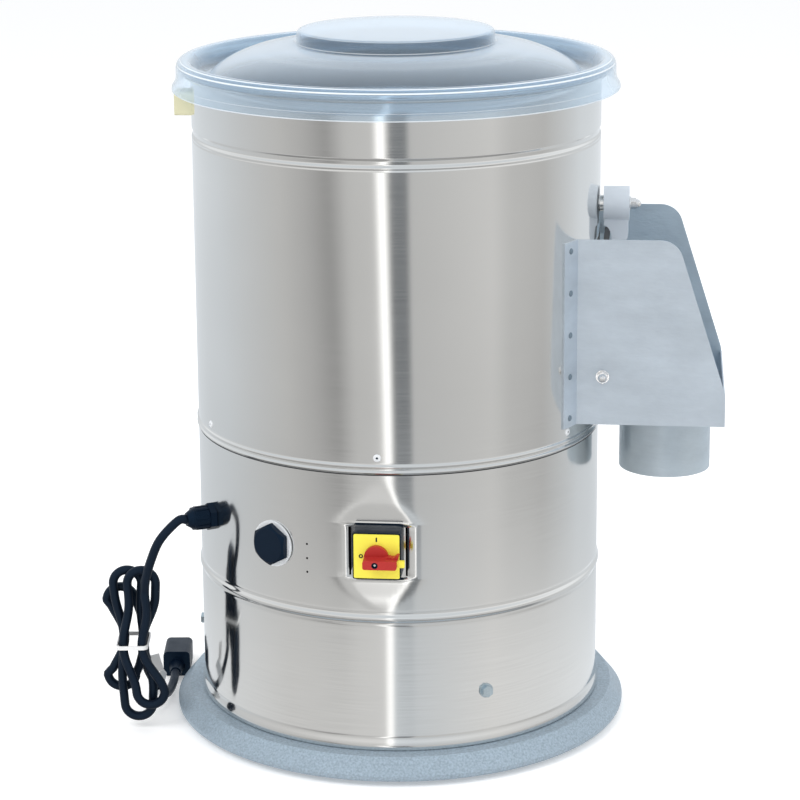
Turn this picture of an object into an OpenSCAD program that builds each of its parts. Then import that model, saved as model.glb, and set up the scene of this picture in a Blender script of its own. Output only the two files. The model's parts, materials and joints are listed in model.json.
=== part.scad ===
// Electric potato peeler: a round steel drum on a cast base, with an abrasive disc driven by a ribbed
// belt, a clear lift-off lid, a side chute with a hinged door, and a mains cord wound in a hank.
// Millimetres. The origin is on the floor under the drum's centre. The switch faces -Y, the chute +X.

/* [Base] */
// Height of the rubber feet under the base
foot_h = 5; // [3:1:12]
// Radius of one rubber foot
foot_r = 15; // [10:1:17]
// Radius of the circle that the feet stand on
foot_circle_r = 184; // [150:1:188]
// Outer radius of the base disc
base_r = 227.5; // [222:0.5:240]
// Height of the base disc
base_h = 21; // [16:1:30]
// Thickness of the base's top plate
base_web = 8; // [5:1:10]

/* [Shell] */
// Outer radius of the drum and of the lower housing
drum_r = 200; // [195:1:206]
// Thickness of the sheet steel
sheet_t = 1.2; // [1:0.1:2]
// Height of the lower housing
lower_h = 275; // [262:1:290]
// Height of the drum from the seam to its rim
upper_h = 363; // [350:1:400]
// Height of the pressed bead above the foot of the lower housing
bead_rise = 133; // [125:1:145]
// How far the beads stand out of the wall
bead_out = 2; // [1:0.1:3]
// Depth of the groove under the rim
groove_in = 1.6; // [1:0.1:2.5]
// Distance from the rim down to the middle of the groove
groove_drop = 69; // [60:1:80]
// Radius of the wire that the rim is rolled round
rim_wire_r = 6; // [4:0.1:6.5]

/* [Lid] */
// Thickness of the clear lid
lid_t = 1.6; // [1.2:0.1:3]
// How far the lid's skirt stands out of the drum at its lower edge
skirt_out = 18.5; // [16:0.5:24]
// Distance from the rim down to the skirt's lower edge
skirt_drop = 27; // [22:1:38]
// Radius of the raised cap in the middle of the lid
cap_r = 96.5; // [70:0.5:110]
// Height of the cap above the dome
cap_h = 14; // [8:0.5:18]
// Height of the dome above the rim
dome_rise = 14.5; // [10:0.5:30]

/* [Chamber] */
// Height of the chamber floor above the seam
deck_rise = 27; // [26:0.5:30]
// Thickness of the chamber floor
deck_t = 3; // [2:0.5:4]
// Gap from the chamber floor to the peeling disc
disc_gap = 10; // [9:0.5:14]
// Thickness of the peeling disc
disc_t = 8; // [6:1:10]
// Gap from the lining of the wall to the peeling disc
disc_clearance = 10.5; // [8:0.5:20]
// Thickness of the abrasive layer on the disc
grit_t = 3; // [2:0.5:4]
// Thickness of the abrasive lining of the wall
liner_t = 3; // [2:0.5:4]

/* [Drive] */
// Radius of the main shaft
shaft_r = 12.5; // [11:0.5:14]
// Outer radius of the shaft's bearings
bearing_r = 26; // [24:1:28]
// Width of one bearing
bearing_w = 15; // [12:1:18]
// Radius of the driven pulley
driven_r = 95; // [85:1:98]
// Radius of the motor pulley
pinion_r = 18; // [15:1:22]
// Width of both pulleys
pulley_w = 24; // [20:1:26]
// Distance between the two pulley axes
belt_centres = 120; // [118:1:122]
// Radius of the motor
motor_r = 68; // [60:1:70]
// Height of the motor
motor_h = 138; // [110:1:150]

/* [Chute] */
// Clear width between the chute's side plates
chute_w = 172.5; // [165:0.5:176]
// Height of the side plates
chute_h = 182; // [176:1:190]
// Thickness of the chute's sheet
chute_t = 1.5; // [1:0.1:2]
// Distance from the drum's axis to the front of the chute
chute_reach = 323.5; // [318:0.5:330]
// Outer radius of the waste tube
tube_r = 45; // [38:0.5:48]
// Length of the waste tube below the tray
tube_drop = 65; // [40:1:90]
// Width of the door
door_w = 144; // [136:1:150]
// Height of the door above its pin
door_h = 114.5; // [113:0.5:116]
// Radius of the latch's round hub
latch_hub_r = 17; // [15:0.5:19]
// Length of the latch's round hub
latch_hub_l = 25; // [22:0.5:28]

/* [Switch] */
// Side of the square switch housing
switch_side = 45.5; // [44:0.5:50]
// How far the switch housing stands out of its pad
switch_depth = 15; // [12:0.5:20]
// Height of the switch above the floor
switch_z = 225; // [215:1:232]
// Radius of the handle's round foot
handle_r = 11.5; // [10:0.5:13]
// How far the handle stands out of the switch plate
handle_depth = 18; // [15:0.5:22]

/* [Fittings] */
// Width across flats of the cable gland
gland_af = 24; // [22:1:27]
// Width across flats of the blanking plug
plug_af = 36; // [32:1:40]
// Height of the gland above the floor
gland_z = 224; // [215:1:232]
// Height of the blanking plug above the floor
blank_z = 222; // [215:1:232]

/* [Cord] */
// Diameter of the mains cord
cord_d = 9; // [8:0.1:9.2]

/* [Hidden] */
// Clearances
seat_gap = 0.3;      // between bodies that rest on each other
run_gap = 0.06;      // radial, between a turning shaft and its bore
slip = 0.1;          // radial, between a fixed pin and its hole
curve_fn = 96;
small_fn = 32;

// Heights
base_top = foot_h + base_h;
seam_z = base_top + lower_h;
rim_z = seam_z + upper_h;
bead_z = base_top + bead_rise;
groove_z = rim_z - groove_drop;
deck_z = seam_z + deck_rise;
disc_z = deck_z + disc_gap;
inner_r = drum_r - sheet_t;
disc_r = inner_r - seat_gap - liner_t - disc_clearance;
skirt_r = drum_r + skirt_out;
wire_x = drum_r + slip + rim_wire_r;
wire_z = rim_z - rim_wire_r;

// Base
base_rim_w = 22;
base_bevel = 12.5;
base_edge_r = 3;
rib_t = 6;
rib_count = 6;
boss_r = 20;
stem_r = 5;
stem_l = 9;

// Beads, hems and rivets of the shells
bead_half = 4.5;
groove_half = 7;
hem_r = 1.8;
rivet_r = 2;
rivet_head_r = 3.6;
rivet_head_h = 1.3;
deck_rivet_azimuths = [0, 60, 120, 180, 240, 300];
deck_rivet_z = seam_z + 16.5;
deck_skirt = 40;
bolt_azimuths = [30, 150, 270];
bolt_z = base_top + 54;
bolt_r = 3;
bolt_af = 10;

// Switch pad
pad_w = 62;
pad_h = 56;
pad_sink = 4.5;
pad_y = drum_r - pad_sink;
plate_t = 1.2;
plate_edge = 1.2;
switch_y = pad_y + switch_depth;
plate_y = switch_y + plate_t;
switch_shaft_r = 5;
contact_side = 45;
contact_depth = 42;
switch_screw_at = 17;

// Switch handle and lock slide, measured from the switch's axis
grip_left = 11.5;
grip_right = 20.5;
grip_top = 1.6;
grip_bottom = 7.1;
grip_base_h = 5;
beak_reach = 22.5;
beak_rise = 5.5;
grip_screw_r = 3;
tab_w = 4.6;
tab_h = 6.4;
tab_z = -2.85;
tab_depth = 8.5;
tab_out = 7;
tab_in = 12;

// Fittings on the lower housing
gland_azimuth = -60;
gland_r = 10;
gland_hex_l = 6;
gland_dome_l = 16;
gland_tip_l = 6;
gland_out = gland_hex_l + gland_dome_l + gland_tip_l;
blank_azimuth = -31;
blank_r = 16;
blank_washer_r = 22.5;
blank_washer_t = 2;
blank_hex_l = 7;
locknut_t = 5;
vent_azimuth = -22;
vent_pitch = 14.5;

// Chamber
deck_collar_r = 33;
deck_collar_h = 7;
deck_hole_r = 30;
waste_slot_w = 110;
waste_slot_h = 14;
liner_top_drop = 79;
disc_hub_r = 30;
disc_skirt_r = 41;
disc_skirt_t = 4;
wave_count = 3;
wave_r = 16;
wave_rise = 7;
wave_from = 42;
disc_nut_af = 30;
disc_nut_l = 16;
stud_r = 8;

// Bearing housing
housing_r = 36;
housing_flange_r = 62;
housing_flange_t = 8;
housing_l = 84;
housing_fillet = 5;
seal_l = 8;
bearing_bolt_circle = 50;
bearing_bolt_r = 4;
bearing_bolt_count = 4;

// Drive
pulley_z = seam_z - 93;
belt_t = 4;
belt_gap = 0.3;
groove_count = 6;
groove_depth = 2.4;
pulley_hub_r = 25;
pulley_rim_t = 8;
pulley_web_t = 8;
pulley_hole_r = 15;
pulley_hole_at = 55;
motor_shaft_r = 9.5;
pulley_gap = 12;
motor_plate_z = pulley_z - pulley_gap;
motor_plate_t = 6;
motor_plate_half = 92;
motor_plate_from = belt_centres - 62;
motor_plate_to = belt_centres + 52;
motor_plate_corner = 14;
motor_end_in = 14;
motor_shaft_depth = 60;
motor_fins = 24;
motor_fin_h = 4;
motor_cap_l = 22;
spigot_r = 32;
hanger_r = 5;
hanger_x = 78;
hanger_y = [belt_centres - 48, belt_centres + 38];
hanger_nut_af = 16;
hanger_nut_t = 6;
capacitor_at = [-105, 95];
capacitor_r = 20;
capacitor_h = 84;
belt_angle = acos((driven_r - pinion_r) / belt_centres);
belt_straight = belt_centres * sin(belt_angle);

// Chute and door
chute_z = seam_z + 21;
chute_top = chute_z + chute_h;
side_y = chute_w / 2;
chute_corner_x = chute_reach - 42;
chute_corner_r = 22;
chute_knee_z = chute_z + 36;
flange_deg = 6.2;
chute_rivet_count = 5;
chute_rivet_r = 1.5;
apron_h = 30;
tray_lip_h = 10;
tube_t = 1.5;
tube_flange = 4;
tube_weld = 3;
tube_x = drum_r + 66.5;
door_opening_w = 124;
door_opening_h = 96;
neck_t = 2;
neck_depth = 9.8;
neck_reach = 3.3;
door_pivot_x = drum_r + 6;
door_pivot_z = chute_z + 48;
door_t = 2;
door_barrel_r = 5.2;
door_seal_t = 5.5;
door_seal_w = 14;
door_opening_z = door_pivot_z + 10;
pin_r = 3;
latch_z = chute_top + 18;
latch_x = drum_r + 3.5;
latch_stud_r = 4;
latch_arm_w = 18;
latch_nose_gap = 0.8;
acorn_af = 10;

// Interlock and water inlet
interlock_azimuth = -88;
interlock_w = 26;
interlock_h = 24;
interlock_out = 17;
interlock_drop = 44.5;
inlet_r = 10.5;
inlet_bore_r = 7;
inlet_l = 28;
inlet_drop = 104;

// The cord, in a frame turned about the drum's axis, as [across, behind, up]
cord_turn = 6;
cord_r = cord_d / 2;
cord_sides = 8;
hank_sides = 6;
hank_centre = [-266, -70];
hank_waist_z = 90;
hank_waist_half = 9.5;
hank_waist_span = 48;
hank_climb_from = 56;
hank_climb_to = 126;
hank_turn_r = 14;
hank_step = 10;
hank_rings = 6;
hank_tops = [[10, 166], [-5, 163], [-13, 142]];
hank_bottoms = [[17, 28], [4, 12], [-13, 40]];
hank_start = [14, 140];
hank_end = [11, 66];
lead_points = [
    [-216.5, -96.4, 223.8], [-234, -101, 206], [-244, -98, 183], [-250, -91, 162], [-252, -85, 149]
];
tail_points = [
    [-255, -55, 57], [-251, -49, 43], [-245, -35, 25], [-240, -16, 12], [-237, 6, 8.5], [-235, 26, 10.6],
    [-235, 35, 11]
];
mains_plug_at = [-235, 62, 0];
mains_plug_size = [28, 43, 27];
mains_plug_entry_z = 11;
mains_relief_l = 18;
blade_l = 17;
tie_h = 4;
tie_t = 1.2;
tie_gap = 0.6;
tag_at = 2;
tag_l = 16;
tag_t = 0.5;
tag_gap = 0.5;
tag_flag = 15;

// ---------------------------------------------------------------- shared functions and shapes

function unit(v) = v / norm(v);
function lerp(a, b, s) = a + (b - a) * s;
function arc(centre, r, from, to, steps) =
    [for (i = [0:steps]) let (a = lerp(from, to, i / steps)) centre + r * [cos(a), sin(a)]];
function bezier(a, b, c, steps) =
    [for (i = [0:steps]) let (s = i / steps) a * (1 - s) ^ 2 + 2 * b * s * (1 - s) + c * s ^ 2];
function reversed(list) = [for (i = [len(list) - 1:-1:0]) list[i]];
function left_normal(a, b) = let (d = unit(b - a)) [-d[1], d[0]];
// A line's points moved sideways by t, so that both lines together bound a sheet of that thickness
function beside(line, t) = [
    for (i = [0:len(line) - 1])
        let (
            last = len(line) - 2,
            before = left_normal(line[max(i - 1, 0)], line[max(i - 1, 0) + 1]),
            after = left_normal(line[min(i, last)], line[min(i, last) + 1]),
            middle = unit(before + after)
        )
        line[i] + middle * t / (middle * before)
];
function path_length(path) =
    len(path) < 2 ? 0 : sum([for (i = [1:len(path) - 1]) norm(path[i] - path[i - 1])]);
function sum(list, i = 0) = i < len(list) ? list[i] + sum(list, i + 1) : 0;

// Turns a shape drawn along +X to an azimuth, where 0 is the switch's side and 90 the chute's
module at_azimuth(azimuth) rotate([0, 0, azimuth - 90]) children();

// A round bar along +X from one distance to another
module rod_x(r, from, to, fn = small_fn)
    translate([from, 0, 0]) rotate([0, 90, 0]) cylinder(r = r, h = to - from, $fn = fn);

// A hexagonal bar along +X, by its width across flats
module hex_x(across_flats, from, to)
    translate([from, 0, 0]) rotate([0, 90, 0]) cylinder(d = across_flats / cos(30), h = to - from, $fn = 6);

// A round bar along +Y
module rod_y(r, from, to, fn = small_fn)
    translate([0, from, 0]) rotate([-90, 0, 0]) cylinder(r = r, h = to - from, $fn = fn);

// A flat ring between two heights
module ring(outer, inner, from, to, fn = curve_fn)
    translate([0, 0, from]) difference() {
        cylinder(r = outer, h = to - from, $fn = fn);
        translate([0, 0, -1]) cylinder(r = inner, h = to - from + 2, $fn = fn);
    }

// A half-round head along +X that stands on the plane x = from
module dome_x(r, h, from)
    translate([from, 0, 0]) rotate([0, 90, 0]) rotate_extrude($fn = small_fn)
        polygon(concat([[0, 0]], [for (a = [0:15:90]) [r * cos(a), h * sin(a)]]));

// A cap nut along +X: a hexagon with a domed end, and a blind hole for its stud
module acorn_nut_x(across_flats, hex_l, hole_r, from) {
    difference() {
        union() {
            hex_x(across_flats, from, from + hex_l);
            dome_x(across_flats * 0.44, hex_l, from + hex_l - 0.01);
        }
        rod_x(hole_r, from - 1, from + hex_l + 1);
    }
}

module rounded_square(size, r) {
    square([size[0] - 2 * r, size[1]], center = true);
    square([size[0], size[1] - 2 * r], center = true);
    for (x = [-1, 1], y = [-1, 1])
        translate([x * (size[0] / 2 - r), y * (size[1] / 2 - r)]) circle(r = r, $fn = small_fn);
}

// A radial hole through the round wall
module wall_hole(azimuth, z, r)
    at_azimuth(azimuth) translate([0, 0, z]) rod_x(r, drum_r - 20, drum_r + 20);

// ---------------------------------------------------------------- base

module base() color([0.60, 0.67, 0.73]) difference() {
    union() {
        rotate_extrude($fn = curve_fn) difference() {
            union() {
                polygon([
                    [0, foot_h], [base_r - base_edge_r, foot_h], [base_r, foot_h + base_edge_r],
                    [base_r, foot_h + 2 * base_edge_r], [base_r - base_bevel, base_top], [0, base_top]
                ]);
                translate([base_r - base_edge_r, foot_h + base_edge_r])
                    circle(r = base_edge_r, $fn = small_fn);
            }
            translate([-1, foot_h - 1])
                square([base_r - base_rim_w + 1, base_h - base_web + 1]);
        }
        for (i = [0:3]) at_azimuth(45 + 90 * i)
            translate([foot_circle_r, 0, foot_h])
                cylinder(r = boss_r, h = base_h - base_web + 1, $fn = small_fn);
        for (i = [0:rib_count - 1]) at_azimuth(360 * i / rib_count)
            translate([0, -rib_t / 2, foot_h + 3])
                cube([base_r - base_rim_w + 1, rib_t, base_h - base_web - 2]);
    }
    for (i = [0:3]) at_azimuth(45 + 90 * i)
        translate([foot_circle_r, 0, foot_h - 1]) cylinder(r = stem_r + slip, h = stem_l + 2, $fn = small_fn);
    for (a = bolt_azimuths) at_azimuth(a) translate([drum_r - 25, 0, base_top - base_web - 1])
        cylinder(r = bolt_r, h = base_web + 2, $fn = small_fn);
}

module feet() color([0.09, 0.09, 0.10]) for (i = [0:3]) at_azimuth(45 + 90 * i)
    translate([foot_circle_r, 0, 0]) rotate_extrude($fn = small_fn) difference() {
        polygon([
            [0, 0], [foot_r - 2, 0], [foot_r, 2], [foot_r, foot_h], [stem_r, foot_h],
            [stem_r, foot_h + stem_l], [0, foot_h + stem_l]
        ]);
        square([foot_r / 3, 1.5]);
    }

module base_brackets() color([0.70, 0.71, 0.72]) for (a = bolt_azimuths) at_azimuth(a) {
    bracket_w = 30;
    bracket_t = 4;
    back_x = sqrt(inner_r ^ 2 - (bracket_w / 2) ^ 2) - slip;
    foot_l = 34;
    translate([0, 0, base_top]) difference() {
        union() {
            translate([back_x - bracket_t, -bracket_w / 2, 0])
                cube([bracket_t, bracket_w, bolt_z - base_top + 14]);
            translate([back_x - foot_l, -bracket_w / 2, 0]) cube([foot_l, bracket_w, bracket_t]);
            translate([0, 0, bolt_z - base_top]) hex_x(bolt_af, back_x - bracket_t - 5, back_x - 1);
        }
        translate([0, 0, bolt_z - base_top]) rod_x(bolt_r + slip, back_x - foot_l, drum_r);
        translate([drum_r - 25, 0, -1]) cylinder(r = bolt_r, h = bracket_t + 2, $fn = small_fn);
    }
}

module housing_bolts() color([0.78, 0.79, 0.80]) for (a = bolt_azimuths) at_azimuth(a)
    translate([0, 0, bolt_z]) {
        rod_x(bolt_r, drum_r - 16, drum_r + 2);
        rod_x(7, drum_r + slip, drum_r + 1.6);
        hex_x(bolt_af, drum_r + 1.5, drum_r + 5.5);
    }

// ---------------------------------------------------------------- shells

// Section of a half-round bead pressed out of the wall at one height
module bead_section(z, out, half, wall_from, wall_to) {
    bead_r = (half ^ 2 + out ^ 2) / (2 * out);
    difference() {
        union() {
            translate([inner_r, wall_from]) square([sheet_t, wall_to - wall_from]);
            intersection() {
                translate([drum_r + out - bead_r, z]) circle(r = bead_r, $fn = curve_fn);
                translate([inner_r, wall_from]) square([2 * out, wall_to - wall_from]);
            }
        }
        translate([drum_r + out - bead_r, z]) circle(r = bead_r - sheet_t, $fn = curve_fn);
    }
}

module lower_housing() color([0.74, 0.75, 0.74]) {
    difference() {
        rotate_extrude($fn = curve_fn) {
            bead_section(bead_z, bead_out, bead_half, base_top, seam_z);
            translate([drum_r, base_top + hem_r]) circle(r = hem_r, $fn = small_fn);
        }
        at_azimuth(0) translate([drum_r - 20, -pad_w / 2, switch_z - pad_h / 2]) cube([40, pad_w, pad_h]);
        for (a = bolt_azimuths) wall_hole(a, bolt_z, bolt_r + 2 * slip);
        wall_hole(gland_azimuth, gland_z, gland_r + slip);
        wall_hole(blank_azimuth, blank_z, blank_r + slip);
        for (i = [-1:1]) wall_hole(vent_azimuth, blank_z + i * vent_pitch, 1.2);
    }
    switch_pad();
}

// The flat pressed pad that carries the switch, with its four walls up to the round wall
module switch_pad() {
    back_x = pad_y - sheet_t;
    difference() {
        intersection() {
            translate([0, 0, switch_z]) at_azimuth(0) union() {
                translate([back_x, -pad_w / 2, -pad_h / 2]) cube([sheet_t, pad_w, pad_h]);
                difference() {
                    translate([back_x, -pad_w / 2, -pad_h / 2]) cube([20, pad_w, pad_h]);
                    translate([back_x - 1, -pad_w / 2 + sheet_t, -pad_h / 2 + sheet_t])
                        cube([22, pad_w - 2 * sheet_t, pad_h - 2 * sheet_t]);
                }
            }
            translate([0, 0, base_top]) cylinder(r = drum_r, h = lower_h, $fn = curve_fn);
        }
        wall_hole(0, switch_z, switch_shaft_r + 2);
        translate([0, 0, switch_z]) at_azimuth(0) for (y = [-1, 1], z = [-1, 1])
            translate([0, y * switch_screw_at, z * switch_screw_at]) rod_x(2, drum_r - 20, drum_r);
    }
}

module drum() color([0.76, 0.77, 0.76]) difference() {
    groove_r = (groove_half ^ 2 + groove_in ^ 2) / (2 * groove_in);
    groove_x = drum_r - groove_in + groove_r;
    rotate_extrude($fn = curve_fn) union() {
        difference() {
            union() {
                bead_section(seam_z + bead_half, bead_out, bead_half, seam_z, wire_z - 8);
                intersection() {
                    translate([groove_x, groove_z]) circle(r = groove_r + sheet_t, $fn = curve_fn);
                    translate([drum_r - 10, groove_z - 20]) square([10, 40]);
                }
            }
            translate([groove_x, groove_z]) circle(r = groove_r, $fn = curve_fn);
        }
        polygon([
            [inner_r, wire_z - 9], [drum_r, wire_z - 9], [drum_r + 2.6, wire_z - 3.5],
            [drum_r + 1.4, wire_z - 1]
        ]);
        translate([wire_x, wire_z]) circle(r = rim_wire_r, $fn = small_fn);
    }
    for (a = deck_rivet_azimuths) wall_hole(a, deck_rivet_z, rivet_r + slip);
    door_cut(neck_t + slip);
    translate([drum_r - 30, -waste_slot_w / 2, deck_z]) cube([60, waste_slot_w, waste_slot_h]);
    for (side = [-1, 1], i = [0:chute_rivet_count - 1])
        wall_hole(90 + side * chute_rivet_angle(), chute_rivet_height(i), chute_rivet_r + slip);
    wall_hole(180, rim_z - inlet_drop, inlet_r + slip);
}

// The square way through the drum's wall, wider than the neck's bore by a margin
module door_cut(margin)
    translate([drum_r - 30, -door_opening_w / 2 - margin, door_opening_z - margin])
        cube([60, door_opening_w + 2 * margin, door_opening_h + 2 * margin]);

module deck_rivets() color([0.80, 0.81, 0.82])
    for (a = deck_rivet_azimuths) at_azimuth(a)
        translate([0, 0, deck_rivet_z]) {
            rod_x(rivet_r, inner_r - 3.5, drum_r + slip);
            dome_x(rivet_head_r, rivet_head_h, drum_r);
        }

module deck() color([0.72, 0.73, 0.74]) difference() {
    skirt_r_out = inner_r - slip;
    union() {
        rotate_extrude($fn = curve_fn) {
            translate([deck_hole_r, deck_z - deck_t]) square([skirt_r_out - deck_hole_r, deck_t]);
            translate([skirt_r_out - sheet_t, deck_z - deck_skirt]) square([sheet_t, deck_skirt]);
            translate([deck_hole_r, deck_z - deck_t])
                square([deck_collar_r - deck_hole_r, deck_t + deck_collar_h]);
        }
    }
    for (a = deck_rivet_azimuths) wall_hole(a, deck_rivet_z, rivet_r + slip);
    for (i = [0:bearing_bolt_count - 1]) at_azimuth(45 + 360 * i / bearing_bolt_count)
        translate([bearing_bolt_circle, 0, deck_z - deck_t - 1])
            cylinder(r = bearing_bolt_r + slip, h = deck_t + 2, $fn = small_fn);
}

module wall_liner() color([0.45, 0.44, 0.42]) difference() {
    ring(inner_r - seat_gap, inner_r - seat_gap - liner_t, deck_z + 16, rim_z - liner_top_drop);
    door_cut(neck_t + slip);
    wall_hole(180, rim_z - inlet_drop, inlet_r + 2);
}

// ---------------------------------------------------------------- door frame and chute

module door_frame() color([0.74, 0.75, 0.76]) difference() {
    translate([drum_r - 25, -door_opening_w / 2 - neck_t, door_opening_z - neck_t])
        cube([25 + neck_reach, door_opening_w + 2 * neck_t, door_opening_h + 2 * neck_t]);
    door_cut(0);
    translate([0, 0, door_opening_z - 2 * neck_t])
        cylinder(r = inner_r - neck_depth, h = door_opening_h + 4 * neck_t, $fn = curve_fn);
}

function chute_rivet_angle() = asin((side_y + chute_t) / drum_r) + flange_deg / 2 + 0.4;
function chute_rivet_height(i) = chute_z + 9 + i * (chute_h - 18) / (chute_rivet_count - 1);

// Outline of one side plate, from the drum outwards
function chute_outline() = concat(
    [[drum_r - 40, chute_z], [drum_r - 40, chute_top]],
    arc([chute_corner_x - chute_corner_r, chute_top - chute_corner_r], chute_corner_r, 90, 18, 8),
    [[chute_reach - 1.5, chute_knee_z], [chute_reach, chute_knee_z - 8], [chute_reach, chute_z]]
);

module chute_plate() {
    start = asin(side_y / drum_r);
    difference() {
        union() {
            translate([0, -side_y, 0]) rotate([90, 0, 0]) linear_extrude(chute_t) polygon(chute_outline());
            translate([0, 0, chute_z])
                rotate_extrude(angle = flange_deg + 0.8, start = -start - flange_deg - 0.8, $fn = curve_fn)
                    translate([drum_r - 1, 0]) square([chute_t + 1, chute_h]);
        }
        translate([0, 0, chute_z - 1]) cylinder(r = drum_r, h = chute_h + 2, $fn = curve_fn);
        for (i = [0:chute_rivet_count - 1])
            wall_hole(90 - chute_rivet_angle(), chute_rivet_height(i), chute_rivet_r + slip);
        translate([door_pivot_x, 0, door_pivot_z]) rod_y(pin_r + slip, -side_y - 5, -side_y + 5);
    }
}

module chute_front_plate() color([0.69, 0.75, 0.79]) chute_plate();

module chute_back_plate() color([0.69, 0.75, 0.79]) mirror([0, 1, 0]) chute_plate();

module chute_tray() color([0.67, 0.72, 0.76]) {
    inside_y = side_y - slip;
    front_x = chute_reach - slip;
    difference() {
        union() {
            translate([drum_r - 25, -inside_y, chute_z])
                cube([front_x - drum_r + 25, 2 * inside_y, chute_t]);
            translate([front_x - chute_t, -inside_y, chute_z]) cube([chute_t, 2 * inside_y, apron_h]);
            for (side = [-1, 1])
                translate([drum_r - 25, side * (inside_y - chute_t / 2) - chute_t / 2, chute_z])
                    cube([front_x - drum_r + 25, chute_t, tray_lip_h]);
        }
        translate([0, 0, chute_z - 1]) cylinder(r = drum_r + slip, h = apron_h + 2, $fn = curve_fn);
        translate([tube_x, 0, chute_z - 1]) cylinder(r = tube_r + slip, h = chute_t + 2, $fn = curve_fn);
    }
}

module waste_tube() color([0.78, 0.79, 0.79]) translate([tube_x, 0, 0]) rotate_extrude($fn = curve_fn) {
    translate([tube_r - tube_t, chute_z - tube_drop]) square([tube_t, tube_drop + 2 * chute_t]);
    translate([tube_r - tube_t, chute_z + chute_t]) square([tube_t + tube_flange, chute_t]);
    polygon([[tube_r - tube_t, chute_z - tube_weld], [tube_r, chute_z - tube_weld],
        [tube_r + tube_weld - slip, chute_z - slip], [tube_r - tube_t, chute_z - slip]]);
}

module chute_rivets() color([0.62, 0.66, 0.69])
    for (side = [-1, 1], i = [0:chute_rivet_count - 1]) at_azimuth(90 + side * chute_rivet_angle())
        translate([0, 0, chute_rivet_height(i)]) {
            rod_x(chute_rivet_r, inner_r, drum_r + chute_t + slip);
            dome_x(2 * chute_rivet_r, rivet_head_h, drum_r + chute_t);
        }

module hinge_pin() color([0.75, 0.76, 0.78])
    translate([door_pivot_x, 0, door_pivot_z]) rod_y(pin_r, -side_y - chute_t - 7, side_y + chute_t + 7);

module hinge_nuts() color([0.86, 0.87, 0.88])
    for (side = [-1, 1]) translate([door_pivot_x, 0, door_pivot_z]) rotate([0, 0, side * 90]) {
        washer_x = side_y + chute_t;
        difference() {
            rod_x(6.5, washer_x, washer_x + 1.4);
            rod_x(pin_r, washer_x - 1, washer_x + 3);
        }
        acorn_nut_x(acorn_af, 5, pin_r, washer_x + 1.4);
    }

// ---------------------------------------------------------------- door and latch

module door() color([0.72, 0.74, 0.76]) {
    outer_x = door_pivot_x + door_barrel_r;
    difference() {
        union() {
            translate([outer_x - door_t - 0.2, -door_w / 2, door_pivot_z])
                cube([door_t, door_w, door_h]);
            translate([door_pivot_x, 0, door_pivot_z]) rod_y(door_barrel_r, -door_w / 2, door_w / 2);
        }
        translate([door_pivot_x, 0, door_pivot_z]) rod_y(pin_r + run_gap, -door_w, door_w);
    }
}

module door_seal() color([0.05, 0.05, 0.06]) {
    outer_w = door_w - 2;
    bottom_z = door_pivot_z + door_barrel_r + 2;
    seal_h = door_pivot_z + door_h - 0.5 - bottom_z;
    seal_x = door_pivot_x + door_barrel_r - door_t - 0.2 - door_seal_t;
    translate([seal_x, 0, bottom_z + seal_h / 2]) rotate([90, 0, 90])
        linear_extrude(door_seal_t) difference() {
            rounded_square([outer_w, seal_h], 5);
            rounded_square([outer_w - 2 * door_seal_w, seal_h - 2 * door_seal_w], 3);
        }
}

module latch_stud() color([0.74, 0.75, 0.77]) difference() {
    translate([0, 0, latch_z]) {
        rod_x(latch_stud_r, drum_r - 3, latch_x + latch_hub_l + seat_gap);
        rod_x(latch_stud_r * 2, drum_r - 3, latch_x - seat_gap);
        rod_x(pin_r, drum_r, latch_x + latch_hub_l + 7);
    }
    translate([0, 0, latch_z - 20]) cylinder(r = drum_r, h = 40, $fn = curve_fn);
}

module latch_nut() color([0.86, 0.87, 0.88]) translate([0, 0, latch_z]) {
    nut_x = latch_x + latch_hub_l + seat_gap;
    difference() {
        rod_x(7, nut_x, nut_x + 1.2);
        rod_x(pin_r, nut_x - 1, nut_x + 2);
    }
    acorn_nut_x(acorn_af, 5, pin_r, nut_x + 1.2);
}

// Round hub, and an arm whose inner face curves away from the drum to clear the door
module latch_lever() color([0.80, 0.81, 0.86]) {
    inner_x = door_pivot_x + door_barrel_r + 0.4;
    outer_x = latch_x + latch_hub_l - 1;
    nose_z = door_pivot_z + door_h + latch_nose_gap;
    difference() {
        union() {
            translate([0, 0, latch_z]) rod_x(latch_hub_r, latch_x, latch_x + latch_hub_l, curve_fn);
            translate([0, latch_arm_w / 2, 0]) rotate([90, 0, 0]) linear_extrude(latch_arm_w) polygon(concat(
                [[latch_x + 0.5, latch_z], [latch_x + 0.5, nose_z + 16]],
                [for (a = [80:-16:0])
                    [latch_x + 0.5 + (inner_x - latch_x - 0.5) * cos(a), nose_z + 2 + 14 * sin(a)]],
                [[inner_x, nose_z]],
                arc([outer_x - 6, nose_z + 6], 6, 270, 360, 5),
                [[outer_x, latch_z]]
            ));
        }
        translate([0, 0, latch_z]) rod_x(latch_stud_r + run_gap, latch_x - 5, latch_x + latch_hub_l + 5);
    }
}

// ---------------------------------------------------------------- lid

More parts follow.
